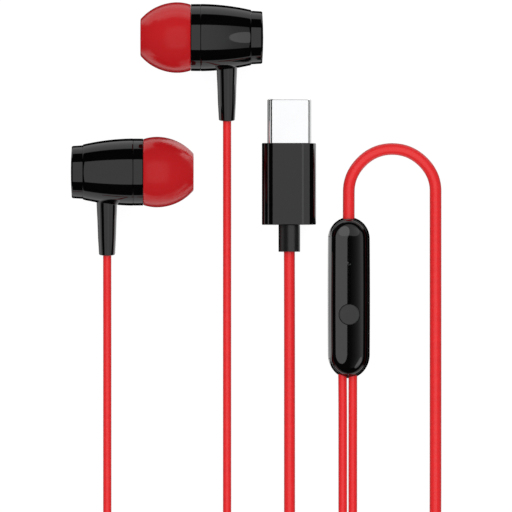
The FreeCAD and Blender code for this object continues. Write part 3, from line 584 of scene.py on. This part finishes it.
def root_fillet(side):
    """The small fillet where the cord sleeve grows out of the barrel."""
    pose = bud_pose(side)
    around = 128
    steps = 6
    foot_r = 2.12
    sleeve_r = 1.915
    hidden_r = 1.7

    def on_barrel(x, z, lift):
        radius = barrel_radius(x) + lift
        return Vector((x, -math.sqrt(radius * radius - z * z), z))

    def add(build):
        rings = []
        for step in range(-1, steps + 1):
            share = max(step, 0) / steps
            circle = []
            for here in range(around):
                cosine = math.cos(TAU * here / around)
                sine = math.sin(TAU * here / around)
                under = on_barrel(STEM_AT + sleeve_r * cosine, sleeve_r * sine, 0.0)
                top = Vector((under.x, under.y - 0.24, under.z))
                if step < 0:
                    hidden = Vector((STEM_AT + hidden_r * cosine, top.y, hidden_r * sine))
                    circle.append(pose @ (hidden * MM))
                    continue
                foot = on_barrel(STEM_AT + foot_r * cosine, foot_r * sine, -0.02)
                point = top * (1 - share) ** 2 + under * (2 * share * (1 - share)) + foot * share ** 2
                circle.append(pose @ (point * MM))
            rings.append(ring_verts(build, circle))
        for first, second in zip(rings, rings[1:]):
            bridge(build, first, second)

    return add


def barrel(side):
    outside = [(11.5, 5.42), (11.5, 6.31), (11.52, 6.36), (11.57, 6.385)] + BARREL_ARC[1:-1]
    outside += [(21.0, 5.262), (21.06, 5.24), (21.095, 5.2), (21.1, 5.14), (21.1, 4.46)]
    piece = lathe(side + "_barrel_shell", outside, bud_pose(side), GLOSS, "root", around=192,
                  extra=root_fillet(side))
    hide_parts(side + "_barrel")


def end_cap(side):
    profile = fillet([(23.4, 0.0), (23.36, 2.2, 8.0), (23.22, 4.86, 0.2), (23.0, 4.985, 0.12),
                      (21.11, 5.1, 0.03), (21.11, 4.38), (20.4, 4.38), (20.4, 3.8), (22.6, 3.8),
                      (22.6, 0.0)], steps=8)
    piece = lathe(side + "_rear_cap", profile, bud_pose(side), GLOSS, "root", around=160)
    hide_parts(side + "_end_cap")


def stem(side):
    """Tapered sleeve round the cord, in the stem's own direction."""
    place = bud_pose(side) @ Matrix.Translation(Vector((STEM_AT, 0.0, 0.0)) * MM)
    down = place @ Matrix.Rotation(-math.pi / 2, 4, "Z")
    profile = fillet([(5.55, 0.8), (5.55, 2.02), (7.36, 1.95, 6.0), (9.4, 1.85, 6.0), (12.6, 1.745, 6.0),
                      (15.94, 1.56, 0.14), (15.94, 0.8, 0.06), (15.0, 0.8)], steps=6)
    piece = lathe(side + "_cord_sleeve", profile, down, GLOSS, "root", closed=True, around=112)
    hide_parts(side + "_stem")


for which in ("left", "right"):
    ear_tip(which)
    front_ring(which)
    barrel(which)
    end_cap(which)
    stem(which)


# ------------------------------------------------------------------ remote

REMOTE_X = 34.73
REMOTE_MID = -32.18
KEY_X = 34.8
KEY_Y = -35.42
SNAP_FOOT = 3.7


def upright(x, y):
    """A pose whose X axis points up from one place on the floor."""
    return Matrix.Translation(Vector((x, y, 0.0)) * MM) @ Matrix.Rotation(-math.pi / 2, 4, "Y")


def remote_outline(inset, ends=36, sides=48):
    """The remote's plan outline moved inward, anticlockwise from the right end of its top curve."""
    half = 4.03
    top_arc = 4.1
    bottom_arc = 4.5
    share = (half - inset) / half
    top = 15.34 - top_arc
    bottom = -(15.42 - bottom_arc)
    points = []
    for step in range(ends + 1):
        angle = math.pi * step / ends
        points.append((half * share * math.cos(angle), top + top_arc * share * math.sin(angle)))
    for step in range(1, sides):
        points.append((-half * share, top + (bottom - top) * step / sides))
    for step in range(ends + 1):
        angle = math.pi + math.pi * step / ends
        points.append((half * share * math.cos(angle), bottom + bottom_arc * share * math.sin(angle)))
    for step in range(1, sides):
        points.append((half * share, bottom + (top - bottom) * step / sides))
    shaped = []
    for x, y in points:
        bulge = 1.0 - 0.022 * (y / 15.18) ** 2
        shaped.append((x * bulge, y))
    return shaped


def shell_from(build, section):
    """A solid whose rings are the remote's outline at (inset, height) steps."""
    rings = []
    for inset, height in section:
        places = [(REMOTE_X * MM + x * MM, REMOTE_MID * MM + y * MM, height * MM)
                  for x, y in remote_outline(inset)]
        rings.append(ring_verts(build, places))
    for first, second in zip(rings, rings[1:]):
        bridge(build, first, second)
    build.faces.new(rings[0][::-1])
    build.faces.new(rings[-1])


def crown(low, high, inset, power, steps):
    """Section of a domed lid from its edge to its middle."""
    reach = 4.01 - inset
    section = []
    for step in range(steps + 1):
        angle = (math.pi / 2) * step / steps
        across = math.cos(angle) ** (2.0 / power)
        up = math.sin(angle) ** (2.0 / power)
        section.append((inset + reach * (1.0 - across), low + (high - low) * up))
    return section


def drill(name, target, cutter):
    """Cut one closed mesh out of another and drop the cutter."""
    change = target.modifiers.new(name, "BOOLEAN")
    change.operation = "DIFFERENCE"
    change.solver = "EXACT"
    change.object = cutter
    bpy.context.view_layer.update()
    baked = bpy.data.meshes.new_from_object(target.evaluated_get(bpy.context.evaluated_depsgraph_get()))
    old = target.data
    target.modifiers.clear()
    target.data = baked
    bpy.data.meshes.remove(old)
    bpy.data.objects.remove(cutter)


def round_cutter(name, x, y, radius, low, high, around):
    """A closed upright cylinder between two heights."""
    build = bmesh.new()
    angles = [TAU * step / around for step in range(around)]
    circle = [(x * MM + radius * MM * math.cos(angle), y * MM + radius * MM * math.sin(angle))
              for angle in angles]
    lower = ring_verts(build, [(cx, cy, low * MM) for cx, cy in circle])
    upper = ring_verts(build, [(cx, cy, high * MM) for cx, cy in circle])
    bridge(build, lower, upper)
    build.faces.new(lower[::-1])
    build.faces.new(upper)
    return finish_mesh(name, build, GLOSS, None)


def sound_cutter(around=64):
    """A small bore with a countersunk mouth."""
    pose = upright(34.77, -25.68)
    return lathe("sound_cutter", [(4.6, 0.0), (4.6, 0.2), (5.49, 0.2), (5.6, 0.4), (6.4, 0.4), (6.4, 0.0)],
                 pose, GLOSS, None, around=around)


def groove_cutter():
    """A shallow groove from the sound hole to the key, with one broken edge."""
    build = bmesh.new()
    ends = []
    for y in (-33.3, -26.0):
        places = [(34.68, 5.48), (34.97, 5.48), (34.97, 5.57), (35.02, 5.61), (35.02, 7.0), (34.68, 7.0)]
        ends.append(ring_verts(build, [(x * MM, y * MM, z * MM) for x, z in places]))
    bridge(build, ends[0], ends[1])
    build.faces.new(ends[0][::-1])
    build.faces.new(ends[1])
    return finish_mesh("groove_cutter", build, GLOSS, None)


def box_cutter(name, low, high):
    build = bmesh.new()
    bmesh.ops.create_cube(build, size=1.0)
    for vertex in build.verts:
        vertex.co = Vector(tuple((low[axis] + (high[axis] - low[axis]) * (vertex.co[axis] + 0.5)) * MM
                                 for axis in range(3)))
    return finish_mesh(name, build, GLOSS, None)


def resharpen(piece, angle):
    for face in piece.data.polygons:
        face.use_smooth = True
    piece.data.set_sharp_from_angle(angle=math.radians(angle))


def room_cutter(low, high):
    """The remote's inner room between two heights."""
    build = bmesh.new()
    shell_from(build, [(1.3, low), (1.3, high)])
    return finish_mesh("room_cutter", build, GLOSS, None)


def remote_back():
    build = bmesh.new()
    section = [(3.9, 0.0), (1.5, 0.0)]
    for step in range(1, 13):
        angle = (math.pi / 2) * step / 12
        section.append((1.45 - 1.45 * math.sin(angle), 1.3 - 1.3 * math.cos(angle)))
    for step in range(1, 11):
        share = step / 10
        section.append((0.33 * share ** 1.5, 1.3 + 1.86 * share))
    section += [(0.36, 3.23), (0.42, 3.25), (0.78, 3.25), (0.78, 3.12), (3.9, 3.12)]
    shell_from(build, section)
    piece = finish_mesh("remote_back", build, GLOSS, "root")
    drill("room", piece, room_cutter(1.2, 3.6))
    for x, y in ((30.7, -20.55), (30.7, -43.8), (38.76, -20.55), (38.76, -43.8)):
        drill("tick", piece, box_cutter("tick_cutter", (x - 0.5, y - 0.045, 1.9), (x + 0.5, y + 0.045, 3.6)))
    resharpen(piece, 28.0)
    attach(piece, "root")
    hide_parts("remote_back_shell")
    return piece


def remote_front():
    build = bmesh.new()
    section = [(3.9, 3.31), (0.53, 3.31), (0.47, 3.33), (0.45, 3.37)]
    section += crown(3.42, 5.6, 0.45, 2.5, 34)
    shell_from(build, section)
    piece = finish_mesh("remote_front", build, GLOSS, "root")
    drill("room", piece, room_cutter(3.0, 4.7))
    drill("key_hole", piece, round_cutter("key_cutter", KEY_X, KEY_Y, 2.05, 4.25, 7.0, 128))
    drill("sound_hole", piece, sound_cutter())
    drill("groove", piece, groove_cutter())
    resharpen(piece, 28.0)
    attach(piece, "root")
    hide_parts("remote_front_shell")
    return piece


def remote_key():
    pose = upright(KEY_X, KEY_Y)
    profile = fillet([(5.62, 0.0), (5.61, 0.9, 3.0), (5.58, 1.7, 1.0), (5.52, 1.96, 0.12), (4.6, 1.96),
                      (4.6, 2.3), (4.3, 2.3), (4.3, 0.0)], steps=6)
    piece = lathe("remote_key", profile, pose, KEY, "button", around=128)
    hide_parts("button")
    return piece


def switch_snap():
    """The switch's domed disc, built in its raised shape; the real disc flattens under the key."""
    pose = upright(KEY_X, KEY_Y)
    profile = [(SNAP_FOOT, 0.0), (SNAP_FOOT, 0.97)]
    for step in range(9):
        angle = (math.pi / 2) * step / 8
        profile.append((3.74 + 0.3 * math.sin(angle), 0.95 * math.cos(angle)))
    piece = lathe("switch_snap", profile, pose, STEEL, "root", around=64)
    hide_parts("switch_dome")
    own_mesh(piece)
    return piece


REMOTE = [remote_back(), remote_front(), remote_key(), switch_snap()]


# ------------------------------------------------------------------ plug

PLUG_X = 23.36
PLUG_Z = 2.6
GRIP_SIZE = (10.46, 5.2, 2.4)       # width, height and corner radius
SHELL_SIZE = (8.38, 2.4, 1.15)
SHELL_INSIDE = (7.7, 1.72, 0.82)
SHELL_ROOT = -5.78
SHELL_MOUTH = 5.71


def section_points(wide, high, corner, per_corner=14):
    """A rounded rectangle about the origin, anticlockwise from its right side."""
    x_in = wide / 2 - corner
    z_in = high / 2 - corner
    made = []
    for quadrant, (cx, cz) in enumerate(((x_in, z_in), (-x_in, z_in), (-x_in, -z_in), (x_in, -z_in))):
        for step in range(per_corner + 1):
            angle = (quadrant + step / per_corner) * math.pi / 2
            made.append((cx + corner * math.cos(angle), cz + corner * math.sin(angle)))
    return made


def extruded(name, sections, material, closed_front=True, closed_back=True):
    """Rounded rectangles (y, wide, high, corner) joined along Y."""
    build = bmesh.new()
    rings = []
    for y, wide, high, corner in sections:
        rings.append(ring_verts(build, [((PLUG_X + x) * MM, y * MM, (PLUG_Z + z) * MM)
                                        for x, z in section_points(wide, high, corner)]))
    for first, second in zip(rings, rings[1:]):
        bridge(build, first, second)
    if closed_back:
        build.faces.new(rings[0])
    if closed_front:
        build.faces.new(rings[-1][::-1])
    return finish_mesh(name, build, material, "root")


def eased(y_end, inward, wide, high, corner, radius, steps=8):
    """Sections that round an end face over into the sides."""
    made = []
    for step in range(steps + 1):
        angle = (math.pi / 2) * step / steps
        cut = radius * (1.0 - math.sin(angle))
        made.append((y_end + inward * radius * (1.0 - math.cos(angle)), wide - 2 * cut, high - 2 * cut,
                     max(corner - cut, 0.05)))
    return made


def plug_grip():
    sections = eased(-18.32, 1.0, *GRIP_SIZE, 0.16)
    sections += eased(-2.72, -1.0, *GRIP_SIZE, 0.16)[::-1]
    piece = extruded("plug_grip", sections, GRIP)
    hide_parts("plug_housing")
    return piece


def plug_tube():
    """The drawn shell: an open tube with a rolled mouth."""
    sections = [(SHELL_ROOT, *SHELL_SIZE), (5.2, *SHELL_SIZE)]
    sections += eased(SHELL_MOUTH, -1.0, *SHELL_SIZE, 0.36)[::-1]
    sections += [(SHELL_MOUTH, 7.64, 1.66, 0.79)] + [(y, *SHELL_INSIDE) for y in (5.6, 5.4, SHELL_ROOT)]
    piece = extruded("plug_tube", sections, STEEL, closed_front=False, closed_back=False)
    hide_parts("plug_shell")
    return piece


def plug_relief():
    pose = Matrix.Translation(Vector((PLUG_X, -23.47, PLUG_Z)) * MM) @ Matrix.Rotation(math.pi / 2, 4, "Z")
    profile = fillet([(0.35, 1.1), (0.0, 1.1, 0.05), (0.0, 2.065, 0.12), (5.15, 2.065, 0.05), (5.15, 1.45),
                      (6.4, 1.45), (6.4, 1.1)], steps=6)
    piece = lathe("plug_relief", profile, pose, RELIEF, "root", closed=True, around=112)
    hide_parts("strain_relief")
    return piece


def parting_line_painted_highlight():
    """The fine raised line that the grip's mould leaves along its upper face, coloured lighter than the grip
    as a painted highlight.
    """
    build = bmesh.new()
    rings = []
    section = ((-0.18, 0.0), (-0.14, 0.7), (-0.07, 1.0), (0.07, 1.0), (0.14, 0.7), (0.18, 0.0), (0.1, -3.0),
               (-0.1, -3.0))
    for y, high in ((-18.16, 0.004), (-18.0, 0.02), (-3.0, 0.02), (-2.88, 0.004)):
        rows = []
        for x, share in section:
            rows.append(((PLUG_X + 2.57 + x) * MM, y * MM, (5.2 + share * high) * MM))
        rings.append(ring_verts(build, rows))
    for first, second in zip(rings, rings[1:]):
        bridge(build, first, second)
    build.faces.new(rings[0])
    build.faces.new(rings[-1][::-1])
    piece = finish_mesh("plug_parting_line", build, PAINTED_HIGHLIGHT_LINE, "root")
    return piece


PLUG = [plug_grip(), plug_tube(), plug_relief(), parting_line_painted_highlight()]


# ------------------------------------------------------------------ ties

TIE_THICK = 0.32
TIE_EDGE = 0.08


def tie(name, slot_name, outer_slack, inner_slack):
    """A flat band bent into a soft-cornered loop that lies close on the coil."""
    low, high = (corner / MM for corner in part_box(slot_name))
    middle_x = (low.x + high.x) / 2
    centre_y = (low.y + outer_slack + high.y - inner_slack) / 2
    centre_z = (low.z + high.z) / 2
    half_y = (high.y - inner_slack - low.y - outer_slack) / 2
    half_z = (high.z - low.z) / 2
    band = (high.x - low.x) / 2
    build = bmesh.new()
    rings = []
    edges = [(-band + TIE_EDGE, 0.0), (band - TIE_EDGE, 0.0), (band, TIE_EDGE), (band, TIE_THICK - TIE_EDGE),
             (band - TIE_EDGE, TIE_THICK), (-band + TIE_EDGE, TIE_THICK), (-band, TIE_THICK - TIE_EDGE),
             (-band, TIE_EDGE)]
    for across, depth in edges:
        loop = section_points(2 * (half_y - depth), 2 * (half_z - depth), 0.9 - depth)
        rings.append(ring_verts(build, [((middle_x + across) * MM, (centre_y + y) * MM, (centre_z + z) * MM)
                                        for y, z in loop]))
    for first, second in zip(rings, rings[1:] + rings[:1]):
        bridge(build, first, second)
    piece = finish_mesh(name, build, TIE, "root", 40.0)
    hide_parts(slot_name)


tie("main_band", "main_tie", 0.45, 0.85)
tie("left_band", "left_tie", 0.32, 0.2)
tie("right_band", "right_tie", 0.32, 0.2)


# ------------------------------------------------------------------ CAD nodes that stay

KEPT = {
    "nozzle_mesh": SCREEN, "driver_frame": INNER, "diaphragm": FILM, "voice_coil": COPPER,
    "pole_plate": MAGNET, "magnet": MAGNET, "yoke": MAGNET, "terminal_board": BOARD, "damper": FELT,
    "cord_knot": moulded("knot_red_jacket", (0.58, 0.0075, 0.0115), (0.68, 0.012, 0.015), 0.36, 0.47,
                         3000.0, 0.00003),
}
# painted shade: the microphone takes the dark inner moulding so the sound hole above it reads dark
SINGLE = {
    "switch_plunger": INNER, "switch_body": INNER, "remote_board": BOARD, "microphone": INNER,
    "microphone_gasket": INNER, "cord_clamp": INNER, "plug_insulator": INNER, "plug_contacts": GOLD,
    "plug_board": BOARD, "audio_chip": INNER,
}


def dress(name, material):
    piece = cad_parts[name]
    piece.data.materials.clear()
    piece.data.materials.append(material)


for which in ("left", "right"):
    for part, finish in KEPT.items():
        dress(which + "_" + part, finish)
for part, finish in SINGLE.items():
    dress(part, finish)


# ------------------------------------------------------------------ floor, light and view

def make_floor():
    """A plain white floor that the camera sees, with only the faintest contact shade."""
    build = bmesh.new()
    bmesh.ops.create_grid(build, x_segments=1, y_segments=1, size=3.0)
    material, _, shader = new_material("floor_white")
    shader.inputs["Base Color"].default_value = (0.1, 0.1, 0.1, 1.0)
    shader.inputs["Roughness"].default_value = 1.0
    shader.inputs["Specular IOR Level"].default_value = 0.0
    shader.inputs["Emission Color"].default_value = (1.0, 1.0, 1.0, 1.0)
    shader.inputs["Emission Strength"].default_value = 0.94
    piece = finish_mesh("floor", build, material, None)
    piece.visible_diffuse = False
    piece.visible_glossy = False
    piece.visible_shadow = False
    piece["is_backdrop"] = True


FROM_LEFT = (0.0, -math.pi / 2, 0.0)
FROM_RIGHT = (0.0, math.pi / 2, 0.0)
FROM_FRONT = (math.pi / 2, 0.0, 0.0)
FROM_BACK = (-math.pi / 2, 0.0, 0.0)
FROM_BELOW = (math.pi, 0.0, 0.0)


def set_stops(ramp, stops):
    """Grey stops of a colour ramp."""
    while len(ramp.elements) < len(stops):
        ramp.elements.new(0.5)
    for element, (place, value) in zip(ramp.elements, stops):
        element.position = place
        element.color = (value, value, value, 1.0)


def panel(name, size, place, radiance, receivers, turn=(0.0, 0.0, 0.0), ramp=None, shape="RECTANGLE"):
    """A flat light, size in metres, that shines along its own -Z, or dims along its own X by ramp stops."""
    data = bpy.data.lights.new(name, "AREA")
    data.shape = shape
    data.size, data.size_y = size
    data.energy = radiance * math.pi * size[0] * size[1]
    lamp = bpy.data.objects.new(name, data)
    bpy.context.scene.collection.objects.link(lamp)
    lamp.location = place
    lamp.rotation_euler = turn
    lamp.visible_camera = False
    group = bpy.data.collections.new(name + "_lit")
    for piece in receivers:
        group.objects.link(piece)
    lamp.light_linking.receiver_collection = group
    if ramp:
        data.use_nodes = True
        tree = data.node_tree
        glow = tree.nodes["Emission"]
        source = tree.nodes.new("ShaderNodeNewGeometry")
        split = tree.nodes.new("ShaderNodeSeparateXYZ")
        shade = tree.nodes.new("ShaderNodeValToRGB")
        set_stops(shade.color_ramp, ramp)
        tree.links.new(source.outputs["Parametric"], split.inputs["Vector"])
        tree.links.new(split.outputs["X"], shade.inputs["Fac"])
        tree.links.new(shade.outputs["Color"], glow.inputs["Color"])
    return lamp


def ceiling(name, left, right, front, back, radiance, receivers, ramp=None, high=2.2, shape="RECTANGLE"):
    """An overhead panel between two X and two Y limits, in metres."""
    return panel(name, (right - left, back - front), ((left + right) / 2, (front + back) / 2, high), radiance,
                 receivers, ramp=ramp, shape=shape)


def ground(name, left, right, radiance, receivers, front=-2.5, back=2.5):
    """Light from below between two X and two Y limits, as a white surface gives it."""
    return panel(name, (right - left, back - front), ((left + right) / 2, (front + back) / 2, -0.3), radiance,
                 receivers, turn=FROM_BELOW)


def make_world():
    """White studio sky for diffuse light; a dark room with a bright floor band for reflections."""
    world = bpy.data.worlds.new("studio")
    world.use_nodes = True
    world.cycles.sampling_method = "NONE"
    tree = world.node_tree
    background = tree.nodes["Background"]
    source = node(tree, "ShaderNodeTexCoord")
    split = node(tree, "ShaderNodeSeparateXYZ")
    tree.links.new(source.outputs["Generated"], split.inputs["Vector"])
    share = node(tree, "ShaderNodeMapRange")
    share.inputs["From Min"].default_value = -1.0
    tree.links.new(split.outputs["Z"], share.inputs["Value"])

    def ramp(stops):
        made = tree.nodes.new("ShaderNodeValToRGB")
        set_stops(made.color_ramp, stops)
        tree.links.new(share.outputs["Result"], made.inputs["Fac"])
        return made.outputs["Color"]

    band = ramp([(0.0, 0.0), (0.125, 0.0), (0.15, 0.95), (0.50, 0.95), (0.53, 0.0), (1.0, 0.0)])
    sideways = node(tree, "ShaderNodeMapRange", interpolation_type="SMOOTHSTEP")
    sideways.inputs["From Min"].default_value = 0.45
    sideways.inputs["From Max"].default_value = 0.62
    flat = node(tree, "ShaderNodeCombineXYZ")
    tree.links.new(split.outputs["X"], flat.inputs["X"])
    tree.links.new(split.outputs["Y"], flat.inputs["Y"])
    unit = node(tree, "ShaderNodeVectorMath", operation="NORMALIZE")
    tree.links.new(flat.outputs["Vector"], unit.inputs[0])
    again = node(tree, "ShaderNodeSeparateXYZ")
    tree.links.new(unit.outputs["Vector"], again.inputs["Vector"])
    tree.links.new(math_node(tree, "ABSOLUTE", again.outputs["Y"]), sideways.inputs["Value"])
    masked = node(tree, "ShaderNodeMix", data_type="RGBA")
    masked.inputs[6].default_value = (0.0, 0.0, 0.0, 1.0)
    tree.links.new(sideways.outputs["Result"], masked.inputs[0])
    tree.links.new(band, masked.inputs[7])
    mirrored = masked.outputs[2]
    soft = ramp([(0.0, 0.20), (0.40, 0.26), (0.50, 0.50), (0.60, 0.62), (1.0, 0.70)])
    paths = node(tree, "ShaderNodeLightPath")
    first = node(tree, "ShaderNodeMix", data_type="RGBA")
    tree.links.new(paths.outputs["Is Glossy Ray"], first.inputs[0])
    tree.links.new(soft, first.inputs[6])
    tree.links.new(mirrored, first.inputs[7])
    second = node(tree, "ShaderNodeMix", data_type="RGBA")
    second.inputs[7].default_value = (1.0, 1.0, 1.0, 1.0)
    tree.links.new(paths.outputs["Is Camera Ray"], second.inputs[0])
    tree.links.new(first.outputs[2], second.inputs[6])
    tree.links.new(second.outputs[2], background.inputs["Color"])
    bpy.context.scene.world = world


def named(*names):
    return [bpy.data.objects[name] for name in names]


def make_lights():
    """Soft panels, each over the pieces that mirror it."""
    floor = named("floor")
    shells = named("remote_front", "remote_back")
    sleeves = named("left_cord_sleeve", "right_cord_sleeve")
    grip = named("plug_grip")
    tube = named("plug_tube")
    relief = named("plug_relief")
    tips = named("left_tip", "right_tip")
    barrel_left = named("left_barrel_shell")
    own = shells + sleeves + tube + relief + grip + tips + barrel_left
    rest = [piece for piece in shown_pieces() if piece not in own]
    ceiling("overhead", -1.375, 1.375, -2.12, 2.12, 1.05, rest + floor)
    ceiling("tips_over", -1.2, 1.2, -1.6, 1.6, 0.35, tips)
    ground("right_tip_under", 0.05, 3.0, 0.8, tips[1:], front=-0.1)
    panel("left_tip_back", (5.0, 1.1), (0.0, 3.0, 0.5), 0.88, tips[:1], turn=FROM_BACK)
    ceiling("left_over", -1.375, 1.375, -2.12, 2.12, 1.05, barrel_left,
            ramp=[(0.0, 1.0), (0.5, 1.0), (0.6, 0.93), (0.68, 0.85), (0.79, 0.63), (1.0, 0.5)])
    ceiling("rear_spot", 0.55, 1.48, -0.84, 0.84, 0.88, barrel_left, high=2.0, shape="ELLIPSE")
    ceiling("sleeve_line", 0.25, 0.8, -2.4, 2.4, 0.25, sleeves, high=2.1)
    ceiling("sleeve_over", -1.8, 6.2, -2.4, 2.4, 1.0, sleeves)
    panel("sleeve_left", (1.9, 5.0), (-3.0, 0.0, -0.06), 1.0, sleeves, turn=FROM_LEFT)
    ground("sleeve_under_left", -3.0, -0.25, 0.9, sleeves)
    ground("sleeve_under_right", 0.0, 3.0, 2.2, sleeves)
    ground("grip_under_right", 0.03, 3.0, 2.8, grip)
    ceiling("grip_over", -0.61, 2.75, -2.12, 2.12, 1.1, grip)
    ceiling("grip_line", -4.5, -2.9, -2.4, 2.4, 1.35, grip)
    ground("grip_under_left", -1.7, -0.75, 0.8, grip)
    ceiling("tube_over", -0.98, 4.2, -2.12, 2.12, 1.07, tube)
    panel("tube_left", (2.3, 5.0), (-3.0, 0.0, 1.35), 0.6, tube, turn=FROM_LEFT)
    panel("tube_right", (2.4, 5.0), (5.0, 0.0, 0.4), 0.2, tube, turn=FROM_RIGHT)
    ground("tube_under_left", -3.0, -0.2, 0.28, tube)
    ground("tube_under_right", 0.0, 3.0, 0.7, tube)
    panel("tube_back", (6.0, 3.0), (0.0, 3.4, 1.7), 0.4, tube, turn=FROM_BACK)
    panel("tube_front", (6.0, 3.0), (0.0, -3.4, 1.7), 0.55, tube, turn=FROM_FRONT)
    ceiling("relief_over", -0.5, 3.4, -2.4, 2.4, 1.05, relief)
    panel("relief_left", (2.6, 5.0), (-3.0, 0.0, 0.2), 0.55, relief, turn=FROM_LEFT)
    ground("relief_under_right", 0.0, 3.0, 0.85, relief)
    ceiling("remote_left", -3.2, 0.1, -1.2, 2.6, 1.257, shells, shape="ELLIPSE")
    ceiling("remote_right", 0.06, 4.4, -1.9, 2.0, 1.05, shells,
            ramp=[(0.0, 0.0), (0.1, 0.11), (0.2, 0.25), (0.33, 0.47), (0.5, 0.8), (1.0, 1.0)])
    ceiling("remote_top", -2.0, 2.1, 0.13, 3.4, 0.62, shells, high=2.0, shape="ELLIPSE")
    ceiling("remote_corner", 0.95, 3.0, -2.5, -0.35, 1.1, shells, high=1.9, shape="ELLIPSE")
    ground("remote_under_left", -3.0, -0.03, 0.95, shells, front=-0.09, back=0.03)


make_floor()
make_world()
make_lights()

bpy.context.scene.view_settings.view_transform = "Standard"
bpy.context.scene.view_settings.look = "None"
